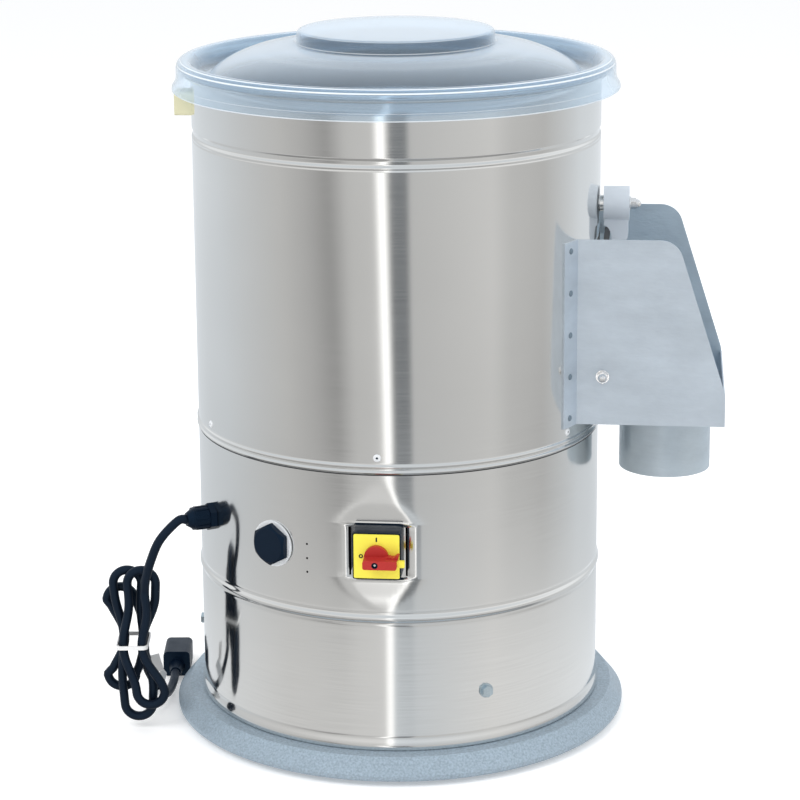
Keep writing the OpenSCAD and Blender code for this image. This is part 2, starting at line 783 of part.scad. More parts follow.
function lid_line() = let (
    edge_z = rim_z - skirt_drop,
    roll_r = rim_wire_r + seat_gap + lid_t,
    dome_z = rim_z + dome_rise,
    top_z = dome_z + cap_h,
    shoulder = [lerp(drum_r, cap_r, 0.58), dome_z - 5.5]
) concat(
    [[skirt_r, edge_z], [skirt_r - 0.3, edge_z + 2.5]],
    bezier([skirt_r - 1.6, edge_z + 4.5], [wire_x + roll_r, edge_z + 8.5], [wire_x + roll_r, edge_z + 15], 5),
    arc([wire_x, wire_z], roll_r, 0, 150, 9),
    bezier([drum_r - 3.2, rim_z - 6], [drum_r - 6, rim_z - 16], [drum_r - 12, rim_z - 17.5], 5),
    bezier([drum_r - 16, rim_z - 16.5], [drum_r - 28, dome_z - 14.5], shoulder, 8),
    bezier(shoulder + [-4, 0.7], [cap_r + 20, dome_z], [cap_r + 6, dome_z], 5),
    bezier([cap_r + 4, dome_z + 0.2], [cap_r + 0.5, dome_z + 0.5], [cap_r, dome_z + 4], 4),
    arc([cap_r - 4.5, top_z - 4.5], 4.5, 0, 90, 5),
    [[0, top_z]]
);

module lid() color([0.75, 0.82, 0.88, 0.45])
    rotate_extrude($fn = curve_fn) polygon(concat(lid_line(), reversed(beside(lid_line(), lid_t))));

// ---------------------------------------------------------------- peeling disc and its shaft

module peeling_disc() color([0.62, 0.63, 0.64]) difference() {
    rotate_extrude($fn = curve_fn) {
        translate([0, disc_z]) square([disc_r, disc_t]);
        translate([0, disc_z - 4]) square([disc_hub_r - 3, disc_t + 8]);
        translate([disc_skirt_r - disc_skirt_t, disc_z - disc_gap + 2])
            square([disc_skirt_t, disc_gap]);
    }
    translate([0, 0, disc_z - disc_gap]) cylinder(r = shaft_r, h = 2 * disc_gap + disc_t, $fn = curve_fn);
}

module abrasive_layer() color([0.36, 0.34, 0.32]) {
    top_z = disc_z + disc_t + grit_t;
    ring(disc_r - 1, disc_hub_r, disc_z + disc_t, top_z);
    intersection() {
        for (i = [0:wave_count - 1]) rotate([0, 0, 360 * i / wave_count])
            translate([0, 0, top_z + wave_rise - wave_r]) rod_x(wave_r, wave_from, disc_r - 8, curve_fn);
        ring(disc_r - 1, disc_hub_r, top_z - 1, top_z + wave_rise + 1);
    }
}

module disc_nut() color([0.80, 0.81, 0.82]) {
    nut_z = disc_z + disc_t + 4;
    difference() {
        translate([0, 0, nut_z]) {
            cylinder(r = disc_hub_r - 6, h = 3, $fn = curve_fn);
            cylinder(d = disc_nut_af / cos(30), h = disc_nut_l - 5, $fn = 6);
            cylinder(r1 = disc_nut_af * 0.45, r2 = 8, h = disc_nut_l, $fn = curve_fn);
        }
        translate([0, 0, nut_z - 1]) cylinder(r = stud_r, h = disc_nut_l - 4, $fn = small_fn);
    }
}

module main_shaft() color([0.66, 0.67, 0.69]) {
    top_z = disc_z + disc_t + 4;
    translate([0, 0, pulley_z - 5]) cylinder(r = shaft_r, h = top_z - pulley_z + 5, $fn = curve_fn);
    translate([0, 0, top_z - 1]) cylinder(r = stud_r, h = disc_nut_l - 5, $fn = small_fn);
}

// Half the section of a ribbed-belt rim: a zigzag of V grooves between two smooth lands
function groove_line(r, w) = let (pitch = (w - 4) / groove_count) concat(
    [[r, 0], [r, 2]],
    [for (i = [0:groove_count - 1])
        each [[r - groove_depth, 2 + pitch * (i + 0.5)], [r, 2 + pitch * (i + 1)]]],
    [[r, w]]
);

module driven_pulley() color([0.55, 0.56, 0.57]) difference() {
    web_z = (pulley_w - pulley_web_t) / 2;
    translate([0, 0, pulley_z]) rotate_extrude($fn = curve_fn) {
        polygon(concat([[driven_r - pulley_rim_t, 0]], groove_line(driven_r, pulley_w),
            [[driven_r - pulley_rim_t, pulley_w]]));
        translate([shaft_r + 1, web_z]) square([driven_r - pulley_rim_t - shaft_r, pulley_web_t]);
        translate([shaft_r, -3]) square([pulley_hub_r - shaft_r, pulley_w + 6]);
    }
    for (i = [0:4]) rotate([0, 0, 72 * i]) translate([pulley_hole_at, 0, pulley_z])
        cylinder(r = pulley_hole_r, h = pulley_w, $fn = small_fn);
}

module shaft_bearings() color([0.70, 0.71, 0.73])
    for (z = [bearing_low_z(), bearing_high_z()]) translate([0, 0, z])
        rotate_extrude($fn = curve_fn) difference() {
        translate([shaft_r + run_gap, 0]) square([bearing_r - shaft_r - run_gap, bearing_w]);
        for (side = [0, 1]) translate([(bearing_r + shaft_r) / 2, side * bearing_w])
            square([bearing_r - shaft_r - 8, 2], center = true);
    }

function housing_z() = deck_z - deck_t - housing_l;
function bearing_low_z() = housing_z() + 2;
function bearing_high_z() = deck_z - deck_t - seal_l - bearing_w - 2;

module bearing_housing() color([0.58, 0.60, 0.62]) difference() {
    shoulder_r = bearing_r - 4;
    rotate_extrude($fn = curve_fn) difference() {
        union() {
            translate([0, housing_z()]) square([housing_r, housing_l]);
            translate([0, deck_z - deck_t - housing_flange_t]) square([housing_flange_r, housing_flange_t]);
            polygon([
                [housing_r - 1, deck_z - deck_t - housing_flange_t - housing_fillet - 2],
                [housing_r + housing_fillet, deck_z - deck_t - housing_flange_t + 0.5],
                [housing_r - 1, deck_z - deck_t - housing_flange_t + 0.5]
            ]);
        }
        translate([0, housing_z() - 1]) square([shoulder_r, housing_l + 2]);
        translate([0, housing_z() - 1]) square([bearing_r, bearing_w + 3]);
        translate([0, bearing_high_z()]) square([bearing_r, housing_l]);
    }
    for (i = [0:bearing_bolt_count - 1]) at_azimuth(45 + 360 * i / bearing_bolt_count)
        translate([bearing_bolt_circle, 0, deck_z - deck_t - housing_flange_t - 1])
            cylinder(r = bearing_bolt_r + slip, h = housing_flange_t + 2, $fn = small_fn);
}

module shaft_seal() color([0.10, 0.10, 0.11])
    ring(bearing_r, shaft_r + run_gap, deck_z - deck_t - seal_l, deck_z - deck_t);

module bearing_bolts() color([0.72, 0.73, 0.75])
    for (i = [0:bearing_bolt_count - 1]) at_azimuth(45 + 360 * i / bearing_bolt_count)
        translate([bearing_bolt_circle, 0, 0]) {
            translate([0, 0, deck_z]) cylinder(d = 13 / cos(30), h = 5, $fn = 6);
            translate([0, 0, deck_z - deck_t - housing_flange_t - 8])
                cylinder(r = bearing_bolt_r, h = housing_flange_t + deck_t + 9, $fn = small_fn);
            translate([0, 0, deck_z - deck_t - housing_flange_t - 6.5])
                cylinder(d = 13 / cos(30), h = 6.5, $fn = 6);
        }

// ---------------------------------------------------------------- motor and belt

module motor_plate() color([0.63, 0.65, 0.67]) translate([0, 0, motor_plate_z]) difference() {
    plate_l = motor_plate_to - motor_plate_from;
    linear_extrude(motor_plate_t) difference() {
        translate([0, (motor_plate_to + motor_plate_from) / 2])
            rounded_square([2 * motor_plate_half, plate_l], motor_plate_corner);
        translate([0, belt_centres]) circle(r = spigot_r + slip, $fn = curve_fn);
        for (x = [-1, 1], y = hanger_y) translate([x * hanger_x, y]) {
            circle(r = hanger_r + slip, $fn = small_fn);
        }
    }
}

module motor_hangers() color([0.70, 0.71, 0.73])
    for (x = [-1, 1], y = hanger_y) translate([x * hanger_x, y, 0]) {
        translate([0, 0, motor_plate_z - 9])
            cylinder(r = hanger_r, h = deck_z - deck_t - motor_plate_z + 9, $fn = small_fn);
        translate([0, 0, motor_plate_z + motor_plate_t]) cylinder(r = hanger_r + 2.5, h = 4, $fn = small_fn);
    }

module hanger_nuts() color([0.72, 0.73, 0.75])
    for (x = [-1, 1], y = hanger_y) translate([x * hanger_x, y, motor_plate_z - hanger_nut_t]) difference() {
        cylinder(d = hanger_nut_af / cos(30), h = hanger_nut_t, $fn = 6);
        translate([0, 0, -1]) cylinder(r = hanger_r, h = hanger_nut_t + 2, $fn = small_fn);
    }

module motor() color([0.30, 0.33, 0.36]) translate([0, belt_centres, motor_plate_z - motor_h]) difference() {
    union() {
        rotate_extrude($fn = curve_fn) polygon([
            [0, 0], [motor_r - motor_end_in, 0], [motor_r - 8, 5], [motor_r - 8, motor_cap_l],
            [motor_r - motor_fin_h, motor_cap_l], [motor_r - motor_fin_h, motor_h - motor_cap_l],
            [motor_r - 8, motor_h - motor_cap_l], [motor_r - 8, motor_h - 6], [motor_r - 8, motor_h],
            [spigot_r, motor_h], [spigot_r, motor_h + motor_plate_t - 1], [0, motor_h + motor_plate_t - 1]
        ]);
        for (i = [0:motor_fins - 1]) rotate([0, 0, 360 * i / motor_fins])
            translate([motor_r - motor_fin_h - 4, -1.5, motor_cap_l + 1])
                cube([motor_fin_h + 4, 3, motor_h - 2 * motor_cap_l - 2]);
    }
    translate([0, 0, motor_h - motor_shaft_depth])
        cylinder(r = motor_shaft_r + run_gap, h = motor_shaft_depth + motor_plate_t, $fn = curve_fn);
}

module motor_shaft() color([0.68, 0.69, 0.71]) {
    low_z = motor_plate_z - motor_shaft_depth + seat_gap;
    translate([0, belt_centres, low_z])
        cylinder(r = motor_shaft_r, h = pulley_z + pulley_w + 4 - low_z, $fn = curve_fn);
}

module motor_pulley() color([0.55, 0.56, 0.57]) translate([0, belt_centres, pulley_z])
    rotate_extrude($fn = curve_fn) polygon(concat([[motor_shaft_r, 0]], groove_line(pinion_r, pulley_w),
        [[motor_shaft_r, pulley_w]]));

// Two arcs and two straight runs that meet end to end
module drive_belt() color([0.08, 0.08, 0.08]) translate([0, 0, pulley_z + 2]) {
    belt_w = pulley_w - 4;
    big_r = driven_r + belt_gap;
    small_r = pinion_r + belt_gap;
    rotate_extrude(angle = 360 - 2 * belt_angle, start = 90 + belt_angle, $fn = curve_fn)
        translate([big_r, 0]) square([belt_t, belt_w]);
    translate([0, belt_centres, 0])
        rotate_extrude(angle = 2 * belt_angle, start = 90 - belt_angle, $fn = curve_fn)
            translate([small_r, 0]) square([belt_t, belt_w]);
    for (side = [0, 1]) mirror([side, 0, 0]) rotate([0, 0, 90 - belt_angle])
        translate([big_r, 0, 0]) cube([belt_t, belt_straight, belt_w]);
}

module capacitor() color([0.80, 0.80, 0.78]) translate([capacitor_at[0], capacitor_at[1], base_top]) {
    cylinder(r = capacitor_r, h = capacitor_h, $fn = curve_fn);
    for (side = [-1, 1]) translate([side * 7 - 3, -0.5, capacitor_h - 1]) cube([6, 1, 9]);
}

module capacitor_clip() color([0.70, 0.71, 0.72]) translate([capacitor_at[0], capacitor_at[1], base_top]) {
    clip_r = capacitor_r + seat_gap;
    ring(clip_r + 2, clip_r, 20, 40);
    translate([-clip_r - 3.5, -8, 0]) cube([2.5, 16, 40]);
    translate([-clip_r - 18, -8, 0]) cube([17, 16, 2.5]);
}

// ---------------------------------------------------------------- switch

module switch_housing() color([0.06, 0.07, 0.08]) translate([0, 0, switch_z]) at_azimuth(0) difference() {
    translate([pad_y, 0, 0]) rotate([90, 0, 90]) linear_extrude(switch_depth)
        rounded_square([switch_side, switch_side], 2);
    rod_x(switch_shaft_r + 2.5, pad_y - 1, pad_y + 4);
    rod_x(switch_shaft_r + run_gap, pad_y - 1, switch_y + 1, curve_fn);
    for (y = [-1, 1], z = [-1, 1]) translate([0, y * switch_screw_at, z * switch_screw_at]) {
        rod_x(2, pad_y - 1, switch_y + 1);
        rod_x(3.6, switch_y - 3, switch_y + 1);
    }
}

module switch_plate() color([0.95, 0.88, 0.25]) translate([0, 0, switch_z]) at_azimuth(0) difference() {
    translate([switch_y, 0, 0]) rotate([90, 0, 90]) linear_extrude(plate_t)
        rounded_square([switch_side - 2 * plate_edge, switch_side - 2 * plate_edge], 1.5);
    rod_x(switch_shaft_r + 0.5, switch_y - 1, plate_y + 1);
}

module switch_contacts() color([0.16, 0.17, 0.19]) translate([0, 0, switch_z]) at_azimuth(0) {
    front_x = pad_y - sheet_t;
    difference() {
        translate([front_x - contact_depth, -contact_side / 2, -contact_side / 2])
            cube([contact_depth, contact_side, contact_side]);
        for (side = [-1, 1], i = [0:2])
            translate([front_x - 12 - 12 * i, -contact_side / 2 - 1, side * 19 - 4.5])
            cube([7, contact_side + 2, 9]);
        for (y = [-1, 1], z = [-1, 1]) translate([0, y * switch_screw_at, z * switch_screw_at])
            rod_x(1.9, front_x - 8, front_x + 1);
    }
}

module switch_screws() color([0.70, 0.71, 0.73]) translate([0, 0, switch_z]) at_azimuth(0)
    for (y = [-1, 1], z = [-1, 1]) translate([0, y * switch_screw_at, z * switch_screw_at]) {
        rod_x(1.9, pad_y - sheet_t - 7.5, switch_y - 2);
        rod_x(3.4, switch_y - 3, switch_y - 0.5);
    }

// Round foot, and a grip with a raised beak that points right at rest
module switch_handle() color([0.80, 0.22, 0.18]) translate([0, 0, switch_z]) at_azimuth(0) {
    foot_x = plate_y + seat_gap;
    grip_x = foot_x + grip_base_h - 1;
    front_x = plate_y + handle_depth;
    difference() {
        union() {
            rod_x(handle_r, foot_x, foot_x + grip_base_h, curve_fn);
            rod_x(switch_shaft_r, switch_y - 0.6 * switch_depth, foot_x + 1, curve_fn);
            translate([foot_x, 0, 0]) rotate([90, 0, 90]) linear_extrude(front_x - foot_x) polygon(concat(
                arc([-grip_left + 2, grip_top - 2], 2, 90, 180, 4),
                arc([-grip_left + 2, -grip_bottom + 2], 2, 180, 270, 4),
                arc([grip_right - 2, -grip_bottom + 2], 2, 270, 360, 4),
                [[grip_right, grip_top]]
            ));
            translate([grip_x, 0, 0]) rotate([90, 0, 90]) linear_extrude(7) polygon([
                [4, grip_top - 1], [grip_right - 1, -grip_bottom + 2], [grip_right, 0],
                [beak_reach, beak_rise],
                [beak_reach - 2.5, beak_rise - 0.5], [grip_right - 4, grip_top + 0.8], [13, grip_top + 2]
            ]);
        }
        translate([0, 0, tab_z]) rod_x(grip_screw_r, front_x - 2, front_x + 1);
        tab_block(slip, tab_out);
    }
}

// The lock slide's block in the grip's right end, or the slot that it runs in
module tab_block(clearance, more)
    translate([plate_y + tab_depth - clearance, grip_right - tab_in - clearance,
        tab_z - tab_h / 2 - clearance])
        cube([tab_w + 2 * clearance, tab_in + tab_out + more + clearance, tab_h + 2 * clearance]);

module lock_slide() color([0.93, 0.86, 0.22]) translate([0, 0, switch_z]) at_azimuth(0) tab_block(0, 0);

// ---------------------------------------------------------------- gland, blanking plug, interlock, inlet

module cable_gland() color([0.06, 0.07, 0.09]) at_azimuth(gland_azimuth) translate([0, 0, gland_z]) {
    dome_x0 = drum_r + gland_hex_l;
    tip_x = drum_r + gland_out;
    difference() {
        union() {
            rod_x(gland_r, inner_r - 10, drum_r + 1);
            hex_x(gland_af, drum_r, dome_x0 + 0.5);
            rod_x(gland_af / 2 - 0.8, dome_x0, dome_x0 + gland_dome_l, curve_fn);
            for (i = [0:11]) rotate([30 * i, 0, 0])
                translate([dome_x0 + 1, gland_af / 2 - 1.6, -1]) cube([gland_dome_l - 4, 1.4, 2]);
            translate([dome_x0 + gland_dome_l - 0.5, 0, 0]) rotate([0, 90, 0])
                cylinder(r1 = gland_af / 2 - 1.5, r2 = cord_r + 2, h = gland_tip_l + 0.5, $fn = curve_fn);
        }
        rod_x(cord_r, inner_r - 11, tip_x - 3);
    }
}

module blanking_plug() color([0.07, 0.09, 0.13]) at_azimuth(blank_azimuth) translate([0, 0, blank_z]) {
    hex_x0 = drum_r + blank_washer_t;
    rod_x(blank_r, inner_r - 11, hex_x0 + 1, curve_fn);
    intersection() {
        hex_x(plug_af, hex_x0, hex_x0 + blank_hex_l);
        translate([hex_x0, 0, 0]) rotate([0, 90, 0]) rotate_extrude($fn = curve_fn)
            polygon([[0, 0], [plug_af * 0.57, 0], [plug_af * 0.57, blank_hex_l - 3],
                [plug_af / 2 - 1.5, blank_hex_l],
                [0, blank_hex_l]]);
    }
}

module blanking_washer() color([0.80, 0.81, 0.83]) at_azimuth(blank_azimuth) translate([0, 0, blank_z])
    difference() {
        rod_x(blank_washer_r, drum_r, drum_r + blank_washer_t, curve_fn);
        rod_x(blank_r, drum_r - 1, drum_r + blank_washer_t + 1, curve_fn);
    }

module panel_locknuts() color([0.10, 0.10, 0.12]) {
    at_azimuth(gland_azimuth) translate([0, 0, gland_z])
        locknut(gland_af + 3, gland_r);
    at_azimuth(blank_azimuth) translate([0, 0, blank_z])
        locknut(plug_af + 4, blank_r);
}

module locknut(across_flats, hole_r) {
    seat_x = sqrt(inner_r ^ 2 - (across_flats / 2 / cos(30)) ^ 2) - slip;
    difference() {
        hex_x(across_flats, seat_x - locknut_t, seat_x);
        rod_x(hole_r, seat_x - locknut_t - 1, seat_x + 1, curve_fn);
    }
}

module interlock_switch() color([0.88, 0.86, 0.72]) at_azimuth(interlock_azimuth)
    translate([0, 0, rim_z - interlock_drop]) difference() {
        rotate([90, 0, 90]) translate([0, 0, drum_r - 6]) linear_extrude(interlock_out + 6)
            rounded_square([interlock_w, interlock_h], 3);
        translate([0, 0, -interlock_h]) cylinder(r = drum_r, h = 2 * interlock_h, $fn = curve_fn);
        for (y = [-1, 1]) translate([0, y * interlock_w / 4, 0])
            rod_x(2.2, drum_r + interlock_out - 4, drum_r + 40);
    }

module water_inlet() color([0.78, 0.66, 0.38]) at_azimuth(180)
    translate([0, 0, rim_z - inlet_drop]) difference() {
    union() {
        rod_x(inlet_r, inner_r - 2, drum_r + 10 + inlet_l, curve_fn);
        difference() {
            hex_x(27, drum_r - 3, drum_r + 10);
            translate([0, 0, -30]) cylinder(r = drum_r, h = 60, $fn = curve_fn);
        }
    }
    rod_x(inlet_bore_r, inner_r - 20, drum_r + 60, curve_fn);
}

// ---------------------------------------------------------------- cord

// Points on one smooth line through the given ones
function smooth_line(p, steps) = [
    for (i = [0:len(p) - 2])
        let (
            a = p[max(i - 1, 0)], b = p[i], c = p[i + 1], d = p[min(i + 2, len(p) - 1)]
        )
        for (k = [0:steps - 1 + (i == len(p) - 2 ? 1 : 0)])
            let (s = k / steps)
            0.5 * (2 * b + (c - a) * s + (2 * a - 5 * b + 4 * c - d) * s ^ 2
                + (3 * b - a - 3 * c + d) * s ^ 3)
];

// A tube through the points of a path, whose end faces are square to the two given directions
module tube_along(path, r, sides, beside_dir, dir_in, dir_out) {
    last = len(path) - 1;
    points = [
        for (i = [0:last])
            let (
                dir = i == 0 ? dir_in : i == last ? dir_out : unit(path[i + 1] - path[i - 1]),
                a = unit(cross(beside_dir, dir)),
                b = cross(dir, a)
            )
            for (k = [0:sides - 1]) path[i] + r * (cos(360 * k / sides) * a + sin(360 * k / sides) * b)
    ];
    faces = concat(
        [for (k = [1:sides - 2]) [0, k + 1, k]],
        [for (k = [1:sides - 2]) [last * sides, last * sides + k, last * sides + k + 1]],
        [for (i = [0:last - 1], k = [0:sides - 1])
            let (k2 = (k + 1) % sides, low = i * sides, high = low + sides)
            each [[low + k, low + k2, high + k2], [low + k, high + k2, high + k]]]
    );
    polyhedron(points = points, faces = [for (f = faces) [f[2], f[1], f[0]]]);
}

// A place in the hank, from its distance across, its height and its layer
function hank_point(across, up, layer) = [
    hank_centre[0] + across, hank_centre[1] + (layer - len(hank_tops) / 2) * hank_step, up
];

// How much of one layer a climbing run has gained at a height
function hank_climb(up) =
    let (s = min(1, max(0, (up - hank_climb_from) / (hank_climb_to - hank_climb_from))))
    (1 - cos(180 * s)) / 2;

// One run of the hank, drawn in at the waist, which may climb a layer on its way
function hank_run(from, to, side, layer, climb) = [
    for (k = [1:hank_rings])
        let (
            s = k / (hank_rings + 1),
            up = lerp(from[1], to[1], s),
            pull = cos(90 * min(1, abs(up - hank_waist_z) / hank_waist_span)) ^ 2,
            across = lerp(lerp(from[0], to[0], s), side * hank_waist_half, pull)
        )
        hank_point(across, up, layer + climb * hank_climb(up))
];

// One half-round turn of the hank about a tip, from the angle where it starts
function hank_turn(tip, side, start, layer) = [
    for (k = [0:hank_rings - 1])
        let (a = start - 180 * k / (hank_rings - 1))
        hank_point(tip[0] + hank_turn_r * cos(a), tip[1] - side * hank_turn_r + hank_turn_r * sin(a), layer)
];

hank_path = concat(
    [hank_point(hank_start[0], hank_start[1], 0), hank_point(hank_start[0] - 1, hank_start[1] - cord_d, 0)],
    hank_half_run([hank_start[0] - 1, hank_start[1] - cord_d],
        [hank_bottoms[0][0] + hank_turn_r, hank_bottoms[0][1] + hank_turn_r], 0),
    [for (i = [0:len(hank_tops) - 1])
        let (
            bottom = hank_bottoms[i],
            top = hank_tops[i],
            next = i < len(hank_tops) - 1
                ? [hank_bottoms[i + 1][0] + hank_turn_r, hank_bottoms[i + 1][1] + hank_turn_r] : hank_end,
            last = i == len(hank_tops) - 1
        )
        each concat(
            hank_turn(bottom, -1, 360, i),
            hank_run([bottom[0] - hank_turn_r, bottom[1] + hank_turn_r],
                [top[0] - hank_turn_r, top[1] - hank_turn_r], -1, i, 1),
            hank_turn(top, 1, 180, i + 1),
            last ? hank_half_run([top[0] + hank_turn_r, top[1] - hank_turn_r], next, i + 1)
                : hank_run([top[0] + hank_turn_r, top[1] - hank_turn_r], next, 1, i + 1, 0)
        )],
    [hank_point(hank_end[0], hank_end[1], len(hank_tops)),
        hank_point(hank_end[0], hank_end[1] - cord_d, len(hank_tops))]
);

// A run that starts or ends at the lead or the tail, and passes the waist on its way
function hank_half_run(from, to, layer) = let (
    waist = [hank_waist_half, hank_waist_z],
    half = hank_rings / 2,
    above = [for (k = [1:half]) let (s = k / half) [
        lerp(from[0], waist[0], (1 - cos(180 * s)) / 2), lerp(from[1], waist[1], s)
    ]],
    below = [for (k = [1:half]) let (s = k / (half + 1)) [
        lerp(waist[0], to[0], (1 - cos(180 * s)) / 2), lerp(waist[1], to[1], s)
    ]]
) [for (p = concat(above, below)) hank_point(p[0], p[1], layer)];

gland_dir = [sin(gland_azimuth - cord_turn), -cos(gland_azimuth - cord_turn), 0];
cord_exit = (drum_r + gland_out) * gland_dir + [0, 0, gland_z];
lead_path = smooth_line(concat([cord_exit], lead_points, [hank_path[0]]), 3);
tail_path = smooth_line(concat([hank_path[len(hank_path) - 1]], tail_points,
    [mains_plug_at + [0, -mains_relief_l, mains_plug_entry_z]]), 3);
down = [0, 0, -1];
hank_in = unit(hank_path[1] - hank_path[0]);

// The least distance between the cord's surface at two places of the hank that aren't neighbours
function hank_gap() = min([
    for (i = [0:len(hank_path) - 6], j = [i + 5:len(hank_path) - 1])
        norm(hank_path[i] - hank_path[j]) - cord_d
]);
echo(hank_gap = hank_gap());
echo(cord_length = path_length(lead_path) + path_length(hank_path) + path_length(tail_path));

module cord_lead() color([0.05, 0.06, 0.09]) rotate([0, 0, cord_turn])
    tube_along(lead_path, cord_r, cord_sides, [0, 1, 0], gland_dir, hank_in);

module cord_hank() color([0.05, 0.06, 0.09]) rotate([0, 0, cord_turn])
    tube_along(hank_path, cord_r, hank_sides, [0, 1, 0], hank_in, down);

module cord_tail() color([0.05, 0.06, 0.09]) rotate([0, 0, cord_turn])
    tube_along(tail_path, cord_r, cord_sides, [1, 0, 0], down, [0, 1, 0]);

module mains_plug() color([0.06, 0.06, 0.08]) rotate([0, 0, cord_turn]) translate(mains_plug_at) {
    size = mains_plug_size;
    difference() {
        union() {
            translate([0, 0, size[2] / 2]) rotate([-90, 0, 0]) linear_extrude(size[1])
                rounded_square([size[0], size[2]], 5);
            translate([0, -mains_relief_l, mains_plug_entry_z]) rotate([-90, 0, 0])
                cylinder(r1 = cord_r + 1.2, r2 = cord_r + 4, h = mains_relief_l + 1, $fn = curve_fn);
        }
        for (side = [-1, 1], i = [0:3])
            translate([side * size[0] / 2 - 0.8, 8 + 5 * i, 5]) cube([1.6, 2, size[2] - 10]);
    }
}

module plug_blades() color([0.82, 0.76, 0.58]) rotate([0, 0, cord_turn])
    translate(mains_plug_at + [0, mains_plug_size[1], mains_plug_size[2] / 2]) {
        for (side = [-1, 1]) translate([side * 6.35 - 0.75, 0, -1]) cube([1.5, blade_l, 6.3]);
        translate([0, 0, -6.5]) rod_y(2.4, 0, blade_l + 3);
    }

module cord_tie() color([0.88, 0.88, 0.86]) rotate([0, 0, cord_turn])
    translate([hank_centre[0], hank_centre[1], hank_waist_z - tie_h / 2]) linear_extrude(tie_h) difference() {
        around_r = cord_r + tie_gap;
        inner = [2 * (hank_waist_half + around_r), len(hank_tops) * hank_step + 2 * around_r];
        rounded_square(inner + 2 * [tie_t, tie_t], 4 + tie_t);
        rounded_square(inner, 4);
    }

// A wrap round the tail, with its two ends pressed together as a flag
module cord_tag() color([0.90, 0.91, 0.92]) rotate([0, 0, cord_turn]) translate(tail_points[tag_at]) {
    along = unit(tail_points[tag_at + 1] - tail_points[tag_at - 1]);
    rotate([0, -asin(along[2]), atan2(along[1], along[0])]) difference() {
        union() {
            rod_x(cord_r + tag_gap + tag_t, -tag_l / 2, tag_l / 2);
            translate([-tag_l / 2, -tag_t, cord_r + tag_gap]) cube([tag_l, 2 * tag_t, tag_flag]);
        }
        rod_x(cord_r + tag_gap, -tag_l, tag_l);
    }
}

base();
feet();
lower_housing();
base_brackets();
housing_bolts();
deck();
drum();
deck_rivets();
wall_liner();
door_frame();
chute_front_plate();
chute_back_plate();
chute_tray();
waste_tube();
chute_rivets();
hinge_pin();
hinge_nuts();
bearing_housing();
shaft_bearings();
shaft_seal();
bearing_bolts();
motor_plate();
motor_hangers();
hanger_nuts();
motor();
capacitor();
capacitor_clip();
drive_belt();
switch_housing();
switch_plate();
switch_contacts();
switch_screws();
cable_gland();
blanking_plug();
blanking_washer();
panel_locknuts();
interlock_switch();
latch_stud();
latch_nut();
water_inlet();
lid();
peeling_disc();
abrasive_layer();
disc_nut();
main_shaft();
driven_pulley();
motor_shaft();
motor_pulley();
door();
door_seal();
latch_lever();
switch_handle();
lock_slide();
cord_lead();
cord_hank();
cord_tail();
mains_plug();
plug_blades();
cord_tie();
cord_tag();
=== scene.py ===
"""Looks of a round electric potato peeler with a brushed steel drum and a side chute.

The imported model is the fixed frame. Lengths are in metres in the frame's own axes: +Z up, the switch
towards -Y and the chute towards +X.
"""

import json
import logging
import math
from dataclasses import dataclass
from enum import Enum

import bpy
from mathutils import Matrix, Vector

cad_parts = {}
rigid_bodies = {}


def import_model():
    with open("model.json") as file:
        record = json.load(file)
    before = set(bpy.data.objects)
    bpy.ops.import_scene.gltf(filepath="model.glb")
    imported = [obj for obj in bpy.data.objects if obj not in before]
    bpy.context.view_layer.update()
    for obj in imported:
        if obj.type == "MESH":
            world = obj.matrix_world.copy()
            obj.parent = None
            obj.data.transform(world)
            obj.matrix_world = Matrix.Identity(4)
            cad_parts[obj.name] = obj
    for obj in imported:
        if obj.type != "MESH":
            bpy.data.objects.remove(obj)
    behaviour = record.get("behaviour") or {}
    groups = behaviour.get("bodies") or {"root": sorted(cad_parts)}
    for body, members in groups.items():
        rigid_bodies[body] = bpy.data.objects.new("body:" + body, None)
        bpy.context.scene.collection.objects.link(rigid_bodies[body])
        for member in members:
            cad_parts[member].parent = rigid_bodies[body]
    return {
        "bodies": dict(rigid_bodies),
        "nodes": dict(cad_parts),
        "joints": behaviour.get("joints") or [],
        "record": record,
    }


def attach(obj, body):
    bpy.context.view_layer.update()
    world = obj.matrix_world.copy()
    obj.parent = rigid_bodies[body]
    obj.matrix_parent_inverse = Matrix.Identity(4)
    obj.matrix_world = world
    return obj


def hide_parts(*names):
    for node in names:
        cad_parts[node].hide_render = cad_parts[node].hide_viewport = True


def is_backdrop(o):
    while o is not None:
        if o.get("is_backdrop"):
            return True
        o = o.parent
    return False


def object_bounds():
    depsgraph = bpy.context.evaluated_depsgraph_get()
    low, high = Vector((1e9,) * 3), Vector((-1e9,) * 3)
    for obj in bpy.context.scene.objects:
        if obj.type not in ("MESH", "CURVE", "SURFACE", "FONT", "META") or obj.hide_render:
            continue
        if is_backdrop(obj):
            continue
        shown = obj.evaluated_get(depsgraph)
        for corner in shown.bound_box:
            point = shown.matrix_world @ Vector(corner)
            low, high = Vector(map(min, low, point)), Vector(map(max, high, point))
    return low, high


LOG = logging.getLogger("peeler")
MM = 0.001
# Points nearer to each other than this become one, and faces that lean less than this against each other too
WELD = 0.01 * MM
FLUSH_DEGREES = 0.5
Piece = bpy.types.Object
Socket = bpy.types.NodeSocket
Point = tuple[float, float, float]
Flat = tuple[float, float]
Shade = tuple[float, float, float, float]


class Body(Enum):
    """The rigid bodies of the frame that pieces ride on."""

    STAND = "stand"
    COVER = "cover"
    DOOR = "chute_door"
    LATCH = "latch"
    HANDLE = "handle"
    LOCK = "lock"


# ---------------------------------------------------------------- modelling bench


def deselect() -> None:
    """Clears the selection of objects."""
    bpy.ops.object.select_all(action="DESELECT")


def pick(piece: Piece) -> None:
    """Selects one object and makes it the active one.

    Args:
        piece: The object to work on.
    """
    deselect()
    piece.select_set(True)
    bpy.context.view_layer.objects.active = piece


